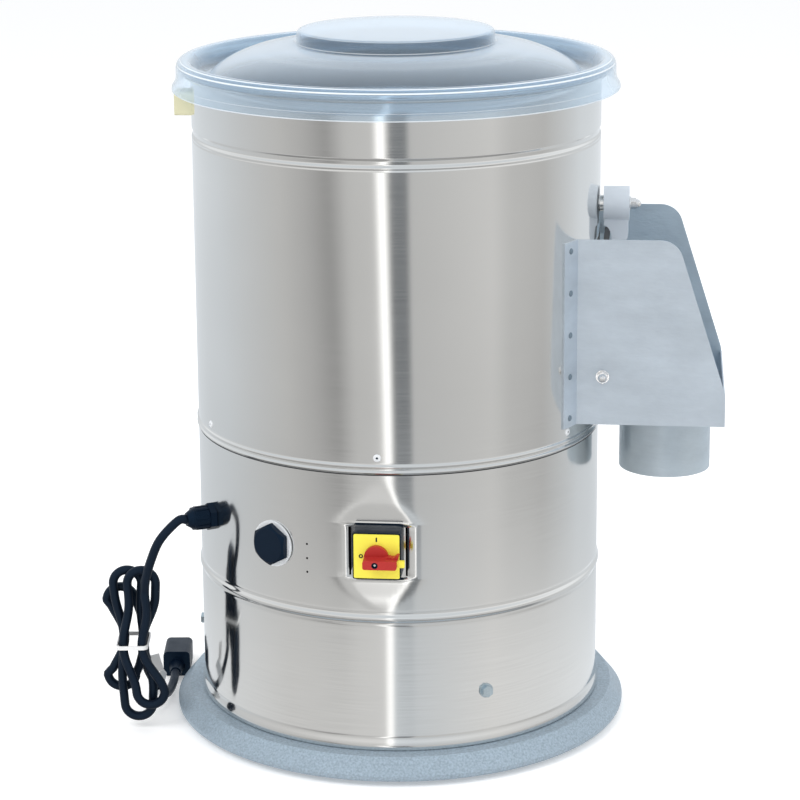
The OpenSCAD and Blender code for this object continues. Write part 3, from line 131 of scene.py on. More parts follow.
def edit(piece: Piece) -> None:
    """Opens an object in edit mode with everything selected.

    Args:
        piece: The mesh object to edit.
    """
    pick(piece)
    bpy.ops.object.mode_set(mode="EDIT")
    bpy.ops.mesh.select_all(action="SELECT")


def leave_edit() -> None:
    """Goes back to object mode."""
    bpy.ops.object.mode_set(mode="OBJECT")


def settle(piece: Piece) -> None:
    """Moves an object's place into its mesh."""
    pick(piece)
    bpy.ops.object.transform_apply(location=True, rotation=True, scale=True)


def smooth(piece: Piece, degrees: float = 35.0) -> None:
    """Shades an object smooth, with edges sharper than an angle kept."""
    pick(piece)
    bpy.ops.object.shade_smooth_by_angle(angle=math.radians(degrees))


def apply_modifier(piece: Piece, kind: str, **values: object) -> None:
    """Adds a modifier to an object and applies it.

    Args:
        piece: The mesh object.
        kind: The modifier's type.
        values: Its properties.
    """
    pick(piece)
    modifier = piece.modifiers.new(kind.lower(), kind)
    for name, value in values.items():
        setattr(modifier, name, value)
    bpy.ops.object.modifier_apply(modifier=modifier.name)


def bevel(piece: Piece, width: float, segments: int = 2, degrees: float = 35.0) -> None:
    """Rounds the sharp edges of an object.

    Args:
        piece: The mesh object.
        width: The bevel's width.
        segments: The number of faces across the bevel.
        degrees: Edges at least this sharp are rounded.
    """
    apply_modifier(
        piece, "BEVEL", width=width, segments=segments, limit_method="ANGLE",
        angle_limit=math.radians(degrees), use_clamp_overlap=True,
    )


def cut(piece: Piece, *cutters: Piece) -> None:
    """Cuts other solids out of an object and removes them.

    Args:
        piece: The mesh object to cut.
        cutters: The solids to take away.
    """
    for cutter in cutters:
        apply_modifier(piece, "BOOLEAN", operation="DIFFERENCE", object=cutter)
        bpy.data.objects.remove(cutter)


def join(first: Piece, *others: Piece) -> Piece:
    """Joins other objects into the first one.

    Args:
        first: The object that stays.
        others: The objects that go into it.

    Returns:
        The joined object.
    """
    pick(first)
    for other in others:
        other.select_set(True)
    bpy.ops.object.join()
    return first


def block(name: str, low: Point, high: Point) -> Piece:
    """Adds a box between two corners.

    Args:
        name: The object's name.
        low: The lowest corner.
        high: The highest corner.

    Returns:
        The new object, settled.
    """
    deselect()
    centre = [(a + b) / 2 for a, b in zip(low, high)]
    size = [b - a for a, b in zip(low, high)]
    bpy.ops.mesh.primitive_cube_add(size=1.0, location=centre)
    piece = bpy.context.object
    piece.name = name
    piece.scale = size
    settle(piece)
    return piece


def rod(name: str, radius: float, start: Point, end: Point, sides: int = 48) -> Piece:
    """Adds a round bar between two points.

    Args:
        name: The object's name.
        radius: The bar's radius.
        start: The middle of one end.
        end: The middle of the other end.
        sides: The number of faces around it.

    Returns:
        The new object, settled.
    """
    deselect()
    way = Vector(end) - Vector(start)
    bpy.ops.mesh.primitive_cylinder_add(
        radius=radius, depth=way.length, vertices=sides, location=(Vector(start) + Vector(end)) / 2
    )
    piece = bpy.context.object
    piece.name = name
    piece.rotation_euler = way.to_track_quat("Z", "Y").to_euler()
    settle(piece)
    return piece


def outline_edges(name: str, outline: list[Flat]) -> Piece:
    """Draws a closed outline in the XZ plane, one extruded point after another.

    Args:
        name: The object's name.
        outline: Points as distance from the axis and height.

    Returns:
        The new object, left in edit mode with everything selected.
    """
    deselect()
    bpy.ops.mesh.primitive_plane_add(size=MM, location=(0, 0, 0))
    piece = bpy.context.object
    piece.name = name
    edit(piece)
    bpy.ops.mesh.merge(type="CENTER")
    bpy.ops.transform.translate(value=(outline[0][0], 0, outline[0][1]))
    for here, there in zip(outline, outline[1:] + outline[:1]):
        bpy.ops.mesh.extrude_region_move(
            TRANSFORM_OT_translate={"value": (there[0] - here[0], 0, there[1] - here[1])}
        )
    bpy.ops.mesh.select_all(action="SELECT")
    bpy.ops.mesh.remove_doubles(threshold=WELD)
    return piece


def revolve(name: str, outline: list[Flat], stretches: tuple[tuple[float, int], ...] = ((360.0, 240),)) -> Piece:
    """Spins a closed outline about the vertical axis.

    Args:
        name: The object's name.
        outline: Points as distance from the axis and height.
        stretches: How far each part of the turn goes in degrees, and its number of faces, from +X on.

    Returns:
        The new object, closed and with its faces outwards.
    """
    piece = outline_edges(name, outline)
    for degrees, steps in stretches:
        bpy.ops.mesh.spin(steps=steps, angle=math.radians(degrees), center=(0, 0, 0), axis=(0, 0, 1))
    bpy.ops.mesh.select_all(action="SELECT")
    bpy.ops.mesh.remove_doubles(threshold=WELD)
    bpy.ops.mesh.normals_make_consistent(inside=False)
    leave_edit()
    return piece


def scaled(outline: list[Flat]) -> list[Flat]:
    """An outline in millimetres as one in metres."""
    return [(x * MM, z * MM) for x, z in outline]


def ease(value: float, low: float, high: float) -> float:
    """A smooth step from 0 at low to 1 at high."""
    share = min(1.0, max(0.0, (value - low) / (high - low)))
    return share * share * (3 - 2 * share)


def arc(centre: Flat, radius: float, start: float, end: float, steps: int) -> list[Flat]:
    """Points along a round stretch of an outline, between two angles in degrees, both ends among them."""
    turns = [math.radians(start + (end - start) * k / steps) for k in range(steps + 1)]
    return [(centre[0] + radius * math.cos(t), centre[1] + radius * math.sin(t)) for t in turns]


def bezier(a: Flat, b: Flat, c: Flat, steps: int) -> list[Flat]:
    """Points along a curve that leaves a towards b and reaches c from b.

    Args:
        a: The first point.
        b: The point that bends the curve.
        c: The last point.
        steps: The number of stretches.

    Returns:
        The points, both ends among them.
    """
    made = []
    for k in range(steps + 1):
        s = k / steps
        made.append(tuple(p * (1 - s) ** 2 + 2 * q * s * (1 - s) + r * s * s for p, q, r in zip(a, b, c)))
    return made


def sheet_outline(line: list[Flat], thickness: float) -> list[Flat]:
    """Closes a line into the section of a sheet, with its thickness to the line's left.

    Args:
        line: The points of the outer face.
        thickness: The sheet's thickness.

    Returns:
        The closed outline.
    """
    inner = []
    for i, (x, z) in enumerate(line):
        before = Vector(line[max(i, 1)]) - Vector(line[max(i, 1) - 1])
        after = Vector(line[min(i, len(line) - 2) + 1]) - Vector(line[min(i, len(line) - 2)])
        left_before = Vector((-before.y, before.x)).normalized()
        left_after = Vector((-after.y, after.x)).normalized()
        middle = (left_before + left_after).normalized()
        reach = thickness / middle.dot(left_before)
        inner.append((x + middle.x * reach, z + middle.y * reach))
    return line + inner[::-1]


def around(azimuth: float, radius: float, height: float) -> Point:
    """A point at an azimuth in degrees about the drum's axis, where 0 is the switch's side and 90 the chute's."""
    turn = math.radians(azimuth)
    return (radius * math.sin(turn), -radius * math.cos(turn), height)


# ---------------------------------------------------------------- finishes


class Tree:
    """A short way to write a node tree."""

    def __init__(self, tree: bpy.types.NodeTree) -> None:
        """Takes the tree that nodes are added to."""
        self.tree = tree

    def add(self, kind: str, **values: object) -> bpy.types.Node:
        """Adds a node and sets its properties or its sockets by name.

        Args:
            kind: The node's type.
            values: Properties, or sockets with underscores for spaces.

        Returns:
            The new node.
        """
        node = self.tree.nodes.new(kind)
        for key, value in values.items():
            if hasattr(node, key):
                setattr(node, key, value)
            else:
                node.inputs[key.replace("_", " ")].default_value = value
        return node

    def link(self, source: Socket, target: Socket) -> None:
        """Joins two sockets."""
        self.tree.links.new(source, target)

    def feed(self, value: object, target: Socket) -> None:
        """Joins a socket to an input, or sets the input to plain numbers.

        Args:
            value: The socket or the numbers.
            target: The input.
        """
        if isinstance(value, Socket):
            self.link(value, target)
        else:
            target.default_value = value

    def maths(self, operation: str, *terms: object) -> Socket:
        """Adds a sum.

        Args:
            operation: The kind of sum.
            terms: Its terms, each a socket or a plain number.

        Returns:
            The result.
        """
        node = self.add("ShaderNodeMath", operation=operation)
        for term, target in zip(terms, node.inputs):
            self.feed(term, target)
        return node.outputs["Value"]

    def ranged(self, value: Socket, given: Flat, wanted: Flat) -> Socket:
        """Maps a value from a given range onto a wanted one, held at its ends.

        Args:
            value: What is mapped.
            given: The range that it is read from.
            wanted: What the ends of that range become.

        Returns:
            The mapped value.
        """
        node = self.add("ShaderNodeMapRange")
        for name, number in zip(("From Min", "From Max", "To Min", "To Max"), (*given, *wanted)):
            node.inputs[name].default_value = number
        self.link(value, node.inputs["Value"])
        return node.outputs["Result"]

    def ramp(self, value: Socket, *stops: tuple[float, Point]) -> Socket:
        """Adds a colour ramp.

        Args:
            value: What the ramp reads.
            stops: Each stop's place and colour.

        Returns:
            The ramp's colour.
        """
        node = self.add("ShaderNodeValToRGB")
        for k, (place, colour) in enumerate(stops):
            stop = node.color_ramp.elements[k] if k < 2 else node.color_ramp.elements.new(place)
            stop.position = place
            stop.color = (*colour, 1.0)
        self.link(value, node.inputs["Fac"])
        return node.outputs["Color"]

    def mixed(self, share: Socket, first: object, second: object) -> Socket:
        """Mixes two colours.

        Args:
            share: How much of the second is taken.
            first: The first colour, a socket or plain numbers.
            second: The second colour, the same.

        Returns:
            The mixed colour.
        """
        node = self.add("ShaderNodeMix", data_type="RGBA")
        self.link(share, node.inputs["Factor"])
        self.feed(first, node.inputs[6])
        self.feed(second, node.inputs[7])
        return node.outputs[2]

    def blended(self, share: Socket, first: Socket, second: Socket) -> Socket:
        """Mixes two shaders.

        Args:
            share: How much of the second is taken.
            first: The first shader.
            second: The second shader.

        Returns:
            The mixed shader.
        """
        node = self.add("ShaderNodeMixShader")
        for source, target in zip((share, first, second), node.inputs):
            self.link(source, target)
        return node.outputs["Shader"]


class Nodes(Tree):
    """The node tree of a new material."""

    def __init__(self, name: str) -> None:
        """Starts a material.

        Args:
            name: The material's name.
        """
        self.material = bpy.data.materials.new(name)
        self.material.use_nodes = True
        super().__init__(self.material.node_tree)
        self.shader = self.tree.nodes["Principled BSDF"]
        self.output = self.tree.nodes["Material Output"]
        self.place = self.add("ShaderNodeTexCoord").outputs["Object"]

    def set(self, **values: object) -> None:
        """Sets values that are the same all over the surface, with underscores for spaces."""
        for socket, value in values.items():
            self.shader.inputs[socket.replace("_", " ")].default_value = value

    def stretched(self, scale: Point = (1, 1, 1)) -> Socket:
        """The piece's own coordinates, scaled.

        Args:
            scale: The scale along each axis.

        Returns:
            The coordinates.
        """
        mapping = self.add("ShaderNodeMapping")
        mapping.inputs["Scale"].default_value = scale
        self.link(self.place, mapping.inputs["Vector"])
        return mapping.outputs["Vector"]

    def noise(self, scale: float, detail: float = 3.0, stretch: Point = (1, 1, 1), roughness: float = 0.5) -> Socket:
        """Adds a noise pattern on the piece's own coordinates.

        Args:
            scale: Cells per metre.
            detail: The number of finer layers.
            stretch: A scale along each axis.
            roughness: The strength of the finer layers.

        Returns:
            The pattern's value.
        """
        node = self.add("ShaderNodeTexNoise", Scale=scale, Detail=detail, Roughness=roughness)
        self.link(self.stretched(stretch), node.inputs["Vector"])
        return node.outputs["Fac"]

    def cells(self, scale: float) -> bpy.types.Node:
        """Adds a pattern of cells on the piece's own coordinates.

        Args:
            scale: Cells per metre.

        Returns:
            The pattern's node.
        """
        node = self.add("ShaderNodeTexVoronoi", Scale=scale)
        self.link(self.stretched(), node.inputs["Vector"])
        return node

    def roughen(self, value: Socket, low: float, high: float) -> None:
        """Lets a pattern's middle range set the roughness from low to high."""
        self.link(self.ranged(value, (0.3, 0.7), (low, high)), self.shader.inputs["Roughness"])

    def tint(self, value: Socket, dark: Point, light: Point) -> None:
        """Colours the surface between two colours along a pattern."""
        self.link(self.ramp(value, (0.3, dark), (0.7, light)), self.shader.inputs["Base Color"])

    def relief(self, value: Socket, depth: float, strength: float = 1.0) -> None:
        """Raises the surface along a pattern.

        Args:
            value: The pattern.
            depth: The relief's full height.
            strength: How much of it is used.
        """
        node = self.add("ShaderNodeBump", Distance=depth, Strength=strength)
        self.link(value, node.inputs["Height"])
        if self.shader.inputs["Normal"].is_linked:
            self.link(self.shader.inputs["Normal"].links[0].from_socket, node.inputs["Normal"])
        self.link(node.outputs["Normal"], self.shader.inputs["Normal"])


def paler(colour: Point, share: float) -> Point:
    """A colour made lighter, or darker for a negative share."""
    return tuple(min(1.0, max(0.0, c * (1 + share))) for c in colour)


@dataclass(frozen=True)
class BrushedSheet:
    """Stainless sheet, brushed around the drum."""

    name: str
    colour: Point = (0.80, 0.80, 0.785)
    roughness: float = 0.11
    grain: float = 260.0

    def build(self) -> bpy.types.Material:
        """Makes the material with long fine scratches and a slow wave in the sheet.

        Returns:
            The material.
        """
        n = Nodes(self.name)
        n.set(Metallic=1.0, Anisotropic=0.8, Anisotropic_Rotation=0.25)
        scratches = n.noise(self.grain, 4.0, (0.06, 0.06, 6.0))
        n.roughen(scratches, self.roughness - 0.02, self.roughness + 0.03)
        n.tint(n.noise(5.0), paler(self.colour, -0.03), paler(self.colour, 0.03))
        n.relief(n.noise(3.2, 2.0, (1, 1, 0.5)), 0.0007, 0.5)
        n.relief(scratches, 0.00001, 0.3)
        tangent = n.add("ShaderNodeTangent", direction_type="RADIAL", axis="Z")
        n.link(tangent.outputs["Tangent"], n.shader.inputs["Tangent"])
        return n.material


@dataclass(frozen=True)
class SpangledZinc:
    """Galvanised sheet with its soft crystal pattern."""

    name: str
    colour: Point = (0.62, 0.69, 0.76)

    def build(self) -> bpy.types.Material:
        """Makes the material from flat cells of slightly different greys.

        Returns:
            The material.
        """
        n = Nodes(self.name)
        n.set(Metallic=0.75)
        shade = n.add("ShaderNodeSeparateColor")
        n.link(n.cells(150.0).outputs["Color"], shade.inputs["Color"])
        n.tint(n.noise(11.0, 4.0, (1, 1, 2.5), 0.65), paler(self.colour, -0.10), paler(self.colour, 0.07))
        n.roughen(shade.outputs["Green"], 0.38, 0.46)
        n.relief(n.noise(150.0, 3.0, (1, 1, 2.8)), 0.0004, 0.55)
        return n.material


@dataclass(frozen=True)
class CastPaint:
    """Hammered paint on a casting."""

    name: str
    colour: Point
    grain: float = 420.0
    depth: float = 0.0006
    metallic: float = 0.25
    roughness: float = 0.42
    contrast: float = 0.13

    def build(self) -> bpy.types.Material:
        """Makes the material with a fine dimpled relief and lighter crests.

        Returns:
            The material.
        """
        n = Nodes(self.name)
        n.set(Metallic=self.metallic)
        dimples = n.noise(self.grain, 2.0, roughness=0.45)
        n.tint(dimples, paler(self.colour, -self.contrast), paler(self.colour, self.contrast))
        n.roughen(n.noise(30.0), self.roughness - 0.06, self.roughness + 0.08)
        n.relief(dimples, self.depth, 0.6)
        return n.material


@dataclass(frozen=True)
class Moulded:
    """Moulded plastic or rubber with a fine grain."""

    name: str
    colour: Point
    roughness: float = 0.38
    grain: float = 1400.0
    depth: float = 0.00004
    specular: float = 0.5
    sheen: Point = (1.0, 1.0, 1.0)

    def build(self) -> bpy.types.Material:
        """Makes the material with a faint colour drift and a fine grain.

        Returns:
            The material.
        """
        n = Nodes(self.name)
        n.set(Specular_IOR_Level=self.specular, Specular_Tint=(*self.sheen, 1.0))
        n.tint(n.noise(25.0), paler(self.colour, -0.05), paler(self.colour, 0.05))
        n.roughen(n.noise(60.0), self.roughness - 0.05, self.roughness + 0.07)
        n.relief(n.noise(self.grain, 2.0), self.depth, 0.5)
        return n.material


@dataclass(frozen=True)
class TurnedMetal:
    """Bright turned or plated metal."""

    name: str
    colour: Point
    roughness: float = 0.22
    metallic: float = 1.0

    def build(self) -> bpy.types.Material:
        """Makes the material with uneven gloss and fine tool marks.

        Returns:
            The material.
        """
        n = Nodes(self.name)
        n.set(Metallic=self.metallic)
        n.tint(n.noise(70.0), paler(self.colour, -0.06), paler(self.colour, 0.05))
        marks = n.noise(300.0, 3.0, (1, 1, 4))
        n.roughen(marks, self.roughness - 0.06, self.roughness + 0.08)
        n.relief(marks, 0.00002, 0.4)
        return n.material


@dataclass(frozen=True)
class BondedGrit:
    """Coarse abrasive grains in a dark bond."""

    name: str
    colour: Point = (0.11, 0.15, 0.19)

    def build(self) -> bpy.types.Material:
        """Makes the material from lighter grains with a strong relief.

        Returns:
            The material.
        """
        n = Nodes(self.name)
        grains = n.cells(420.0).outputs["Distance"]
        n.tint(grains, paler(self.colour, 0.9), self.colour)
        n.set(Roughness=0.8)
        n.relief(grains, 0.0012, 0.9)
        return n.material


@dataclass(frozen=True)
class ClearSheet:
    """Clear plastic, faintly blue, that lets light and view through."""

    name: str
    colour: Point = (0.83, 0.905, 0.97)
    milk: float = 0.035
    gloss: float = 0.05
    sheen: Point = (0.83, 0.88, 0.92)
    edge_power: float = 3.9
    # Painted highlights, thin white lines along the lid's edges: distance from the axis, height, half width and
    # strength
    painted_highlight_rings: tuple[tuple[float, float, float, float], ...] = (
        (209.7, 664.9, 1.0, 0.85), (213.2, 661.6, 1.1, 0.9), (218.4, 637.4, 0.8, 0.6), (216.0, 644.0, 0.8, 0.5),
        (95.6, 691.6, 0.9, 0.7), (97.2, 680.5, 0.8, 0.45),
    )

    def build(self) -> bpy.types.Material:
        """Makes the material from a see-through part and a glossy, faintly milky one, with painted highlight lines
        along its edges.

        Returns:
            The material.
        """
        n = Nodes(self.name)
        n.set(Base_Color=(*self.sheen, 1.0), Specular_IOR_Level=1.0)
        n.roughen(n.noise(12.0), 0.03, 0.07)
        n.relief(n.noise(9.0, 2.0), 0.0006, 0.3)
        clear = n.add("ShaderNodeBsdfTransparent", Color=(*self.colour, 1.0))
        turned = n.add("ShaderNodeLayerWeight", Blend=0.5).outputs["Facing"]
        least = self.milk + self.gloss
        share = n.maths("MULTIPLY_ADD", n.maths("POWER", turned, self.edge_power), 1.0 - least, least)
        share.node.use_clamp = True
        n.link(
            n.blended(self.with_painted_highlights(n, share), clear.outputs["BSDF"], n.shader.outputs["BSDF"]),
            n.output.inputs["Surface"],
        )
        return n.material

    def with_painted_highlights(self, n: Nodes, share: Socket) -> Socket:
        """Paints thin highlight lines along the lid's edges by raising how opaque the sheet is there.

        Args:
            n: The material's nodes.
            share: How opaque the sheet is elsewhere.

        Returns:
            The raised value.
        """
        parts = n.add("ShaderNodeSeparateXYZ")
        n.link(n.place, parts.inputs["Vector"])
        flat = n.add("ShaderNodeCombineXYZ")
        section = n.add("ShaderNodeCombineXYZ")
        away = n.add("ShaderNodeVectorMath", operation="LENGTH")
        n.link(parts.outputs["X"], flat.inputs["X"])
        n.link(parts.outputs["Y"], flat.inputs["Y"])
        n.link(flat.outputs["Vector"], away.inputs[0])
        n.link(away.outputs["Value"], section.inputs["X"])
        n.link(parts.outputs["Z"], section.inputs["Z"])
        for radius, height, half, strength in self.painted_highlight_rings:
            near = n.add("ShaderNodeVectorMath", operation="DISTANCE")
            near.inputs[1].default_value = (radius * MM, 0, height * MM)
            n.link(section.outputs["Vector"], near.inputs[0])
            # Each ring is a painted highlight: the sheet turns opaque and pale along a thin line
            ring = n.ranged(near.outputs["Value"], (half * MM, half * 0.4 * MM), (0.0, strength))
            share = n.maths("MAXIMUM", share, ring)
        return share


FINISHES = {
    "cast_base": CastPaint("cast_base", (0.34, 0.42, 0.49), 520.0, 0.0006, contrast=0.17),
    "stainless_sheet": BrushedSheet("stainless_sheet"),
    "galvanised_sheet": SpangledZinc("galvanised_sheet"),
    "bright_steel": TurnedMetal("bright_steel", (0.80, 0.80, 0.79)),
    "chrome_nut": TurnedMetal("chrome_nut", (0.88, 0.88, 0.88), 0.14),
    "plated_steel": TurnedMetal("plated_steel", (0.62, 0.64, 0.66), 0.34),
    "cast_grey": CastPaint("cast_grey", (0.24, 0.25, 0.27), 300.0, 0.0004, 0.2, 0.5),
    "painted_grey": CastPaint("painted_grey", (0.36, 0.38, 0.40), 500.0, 0.0001, 0.1, 0.4),
    "motor_grey": CastPaint("motor_grey", (0.10, 0.12, 0.14), 260.0, 0.0003, 0.1, 0.45),
    "cast_aluminium": CastPaint("cast_aluminium", (0.55, 0.56, 0.57), 350.0, 0.0003, 0.9, 0.36),
    "abrasive": BondedGrit("abrasive"),
    "rubber": Moulded("rubber", (0.020, 0.021, 0.024), 0.55, 900.0, 0.00006),
    "cord_rubber": Moulded("cord_rubber", (0.004, 0.008, 0.018), 0.40, 1200.0, 0.00005, 0.3, (0.5, 0.75, 1.0)),
    "black_plastic": Moulded("black_plastic", (0.002, 0.006, 0.016), 0.36, 1400.0, 0.00002, 0.26, (0.4, 0.7, 1.0)),
    "yellow_plastic": Moulded("yellow_plastic", (0.86, 0.77, 0.08), 0.42, 1400.0, 0.00004, 0.25),
    "red_plastic": Moulded("red_plastic", (0.44, 0.030, 0.026), 0.40, 1400.0, 0.00004, 0.2),
    "beige_plastic": Moulded("beige_plastic", (0.74, 0.71, 0.48), 0.45),
    "white_plastic": Moulded("white_plastic", (0.80, 0.80, 0.80), 0.4),
    "pale_plastic": Moulded("pale_plastic", (0.68, 0.74, 0.81), 0.35),
    "clear_plastic": ClearSheet("clear_plastic"),
    "brass": TurnedMetal("brass", (0.72, 0.55, 0.26), 0.26),
    # Finishes of single pieces that look unlike the rest of their slot; the darker galvanised sheet of the chute's back
    # plate is painted shade
    "tube_steel": SpangledZinc("tube_steel", (0.56, 0.64, 0.70)),
    "painted_shade_sheet": SpangledZinc("painted_shade_sheet", (0.56, 0.67, 0.76)),
    "bolt_steel": TurnedMetal("bolt_steel", (0.50, 0.59, 0.64), 0.2, 0.85),
    "rivet_bright": TurnedMetal("rivet_bright", (0.86, 0.88, 0.90), 0.4, 0.35),
    "rivet_dull": TurnedMetal("rivet_dull", (0.20, 0.26, 0.31), 0.4, 0.6),
}


# ---------------------------------------------------------------- workshop


class Workshop:
    """Holds the frame and the finishes, and puts each made piece in its place."""

    def __init__(self) -> None:
        """Loads the frame and dresses every CAD node in its slot's finish."""
        self.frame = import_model()
        self.cad_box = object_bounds()
        self.finishes = {slot: finish.build() for slot, finish in FINISHES.items()}
        self.slot_of = {row["node"]: row["material_slot"] for row in self.frame["record"]["subparts"]}
        for node, slot in self.slot_of.items():
            self.dress(self.frame["nodes"][node], slot)
        deselect()

    def dress(self, piece: Piece, slot: str) -> None:
        """Gives a piece the finish of that name."""
        piece.data.materials.clear()
        piece.data.materials.append(self.finishes[slot])

    def place(self, piece: Piece, body: Body, slot: str, *nodes: str) -> Piece:
        """Dresses a piece, lets it ride on a body and hides the CAD nodes that it replaces.

        Args:
            piece: The finished piece.
            body: The body that it rides on.
            slot: The material slot that it takes its finish from.
            nodes: The CAD nodes that it replaces.

        Returns:
            The piece.
        """
        self.dress(piece, slot)
        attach(piece, body.value)
        if nodes:
            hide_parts(*nodes)
        LOG.info("%s: %d faces on %s", piece.name, len(getattr(piece.data, "polygons", [])), body.value)
        return piece

    def copy_of(self, node: str, name: str, round_edge: float = 0.0) -> Piece:
        """Copies a CAD node as one merged mesh with rounded edges.

        Args:
            node: The CAD node.
            name: The new piece's name.
            round_edge: The width of the bevel on its sharp edges.

        Returns:
            The new piece.
        """
        piece = bpy.data.objects.new(name, self.frame["nodes"][node].data.copy())
        bpy.context.scene.collection.objects.link(piece)
        edit(piece)
        bpy.ops.mesh.remove_doubles(threshold=WELD / 5)
        bpy.ops.mesh.customdata_custom_splitnormals_clear()
        bpy.ops.mesh.dissolve_limited(angle_limit=math.radians(FLUSH_DEGREES))
        leave_edit()
        if round_edge:
            bevel(piece, round_edge)
        smooth(piece)
        apply_modifier(piece, "WEIGHTED_NORMAL", keep_sharp=True)
        return piece


# ---------------------------------------------------------------- studio


@dataclass
class Studio:
    """The camera, the pale floor and the light."""

    distance: float = 2.549
    azimuth: float = 5.8
    height: float = 1.0361
    pitch: float = 13.42
    roll: float = -0.395
    lens: float = 118.61
    shift: Flat = (0.00305, -0.1337)
    # The room that the steel mirrors: pale walls, a dark corner at the left, a strip lamp beside a dark doorway
    # in front, and a dark corner at the right. Each stop is a direction about the drum in degrees, and a level
    room: tuple[Flat, ...] = (
        (-180, 0.8), (-110, 0.7), (-60, 0.55), (-44, 0.45), (-30, 0.3), (-20, 0.55), (-5, 0.6), (-2, 1.7), (-0.5, 1.7),
        (2, 0.35), (4, 0.2), (11, 0.2), (14, 0.55), (60, 0.65), (72, 0.55), (95, 0.5), (130, 0.75), (180, 0.8),
    )
    # The same for what the lower housing and the sheet's curled edges mirror: an even bright floor and the lamp
    low_room: tuple[Flat, ...] = (
        (-180, 0.85), (-60, 0.7), (-3, 0.75), (-0.5, 1.35), (1, 1.35), (3, 0.75), (12, 0.7), (60, 0.8), (180, 0.85),
    )
    # How the room's brightness changes with the direction's height, as its sine
    heights: tuple[Flat, ...] = (
        (-1.0, 0.6), (-0.88, 0.5), (-0.78, 0.35), (-0.68, 0.8), (-0.43, 0.8), (-0.38, 1.15), (-0.34, 0.9),
        (-0.18, 1.1), (-0.1, 0.9), (0.05, 0.9), (0.25, 1.2), (1.0, 1.2),
    )
    # The bands lean: the lower the direction, the further right they stand, as a share of a turn
    lean_heights: Flat = (-0.36, -0.14)
    lean_shift: Flat = (-0.125 / 360, 0.095 / 360)
    lean_turns: Flat = (150 / 360, 210 / 360)
    lean_most: float = 57.0
    # Where the bands end at the room's foot and rim, and where the ceiling starts, as sines and shares
    foot: tuple[Flat, Flat] = ((-0.345, -0.315), (0.0, 1.0))
    rim: tuple[Flat, Flat] = ((-0.14, -0.08), (1.0, 0.0))
    ceiling: tuple[Flat, Flat] = ((0.30, 0.62), (0.0, 1.0))
    sky: Shade = (0.72, 0.76, 0.80, 1.0)
    soft_light: Shade = (0.97, 0.985, 1.0, 1.0)
    soft_strength: float = 0.78
    # Each lamp's name, azimuth, reach, height, size and power
    lamps: tuple[tuple[str, float, float, float, float, float], ...] = (
        ("key", -38.0, 2.2, 2.4, 1.6, 34.0), ("fill", 62.0, 2.4, 1.9, 1.6, 16.0), ("top", 150.0, 1.0, 2.8, 2.0, 22.0)
    )
    lamp_aim: Point = (0, 0, 0.35)

    def build(self) -> None:
        """Makes the camera, the floor, the room and the lamps."""
        self.make_camera()
        self.make_floor()
        self.make_room()
        self.make_lamps()
        bpy.context.scene.view_settings.view_transform = "Standard"

    def make_camera(self) -> None:
        """Stands the camera where the photograph was taken from."""
        data = bpy.data.cameras.new("camera")
        data.lens = self.lens
        data.sensor_width = 36.0
        data.shift_x, data.shift_y = self.shift
        camera = bpy.data.objects.new("camera", data)
        bpy.context.scene.collection.objects.link(camera)
        turn = (
            Matrix.Rotation(math.radians(self.azimuth), 4, "Z")
            @ Matrix.Rotation(math.radians(90 - self.pitch), 4, "X")
            @ Matrix.Rotation(math.radians(self.roll), 4, "Z")
        )
        camera.matrix_world = Matrix.Translation(around(self.azimuth, self.distance, self.height)) @ turn
        bpy.context.scene.camera = camera

    def make_floor(self) -> None:
        """Lays a plain pale floor that the steel doesn't mirror."""
        deselect()
        bpy.ops.mesh.primitive_circle_add(vertices=96, radius=14.0, fill_type="NGON", location=(0, 0, -0.0005))
        floor = bpy.context.object
        floor.name = "floor"
        n = Nodes("floor_white")
        n.set(Base_Color=(0.93, 0.93, 0.93, 1.0), Roughness=0.9, Specular_IOR_Level=0.1)
        n.set(Emission_Color=(1, 1, 1, 1), Emission_Strength=0.25)
        floor.data.materials.append(n.material)
        floor.visible_glossy = False
        floor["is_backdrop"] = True

    def make_room(self) -> None:
        """Paints the room around the object, white to the camera and banded in reflections."""
        world = bpy.data.worlds.new("room")
        bpy.context.scene.world = world
        world.use_nodes = True
        world.node_tree.nodes.clear()
        n = Tree(world.node_tree)
        parts = n.add("ShaderNodeSeparateXYZ")
        n.link(n.add("ShaderNodeTexCoord").outputs["Generated"], parts.inputs["Vector"])
        east, north, up = parts.outputs
        turn = n.maths("ARCTAN2", east, n.maths("MULTIPLY", north, -1.0))
        share = n.maths("MULTIPLY_ADD", turn, 0.5 / math.pi, 0.5)
        lean = n.maths("MULTIPLY", n.ranged(share, self.lean_turns, (self.lean_most, 0.0)),
                       n.ranged(up, self.lean_heights, self.lean_shift))
        high = n.ramp(n.maths("ADD", lean, share), *self.stops(self.room))
        low = n.ramp(share, *self.stops(self.low_room))
        banded = n.maths("MULTIPLY", n.ranged(up, *self.foot), n.ranged(up, *self.rim))
        rise = n.ramp(
            n.maths("MULTIPLY_ADD", up, 0.5, 0.5),
            *[((sine + 1) / 2, (level / 2, level / 2, level / 2)) for sine, level in self.heights],
        )
        lit = n.add("ShaderNodeVectorMath", operation="SCALE")
        n.link(n.mixed(banded, low, high), lit.inputs[0])
        n.link(n.maths("MULTIPLY", rise, 2.0), lit.inputs["Scale"])
        mirrored = n.add("ShaderNodeBackground")
        n.link(n.mixed(n.ranged(up, *self.ceiling), lit.outputs["Vector"], self.sky), mirrored.inputs["Color"])
        soft = n.add("ShaderNodeBackground", Color=self.soft_light, Strength=self.soft_strength)
        plain = n.add("ShaderNodeBackground", Color=(1, 1, 1, 1))
        rays = n.add("ShaderNodeLightPath")
        light = n.blended(rays.outputs["Is Glossy Ray"], soft.outputs["Background"], mirrored.outputs["Background"])
        whole = n.blended(rays.outputs["Is Camera Ray"], light, plain.outputs["Background"])
        n.link(whole, n.add("ShaderNodeOutputWorld").inputs["Surface"])

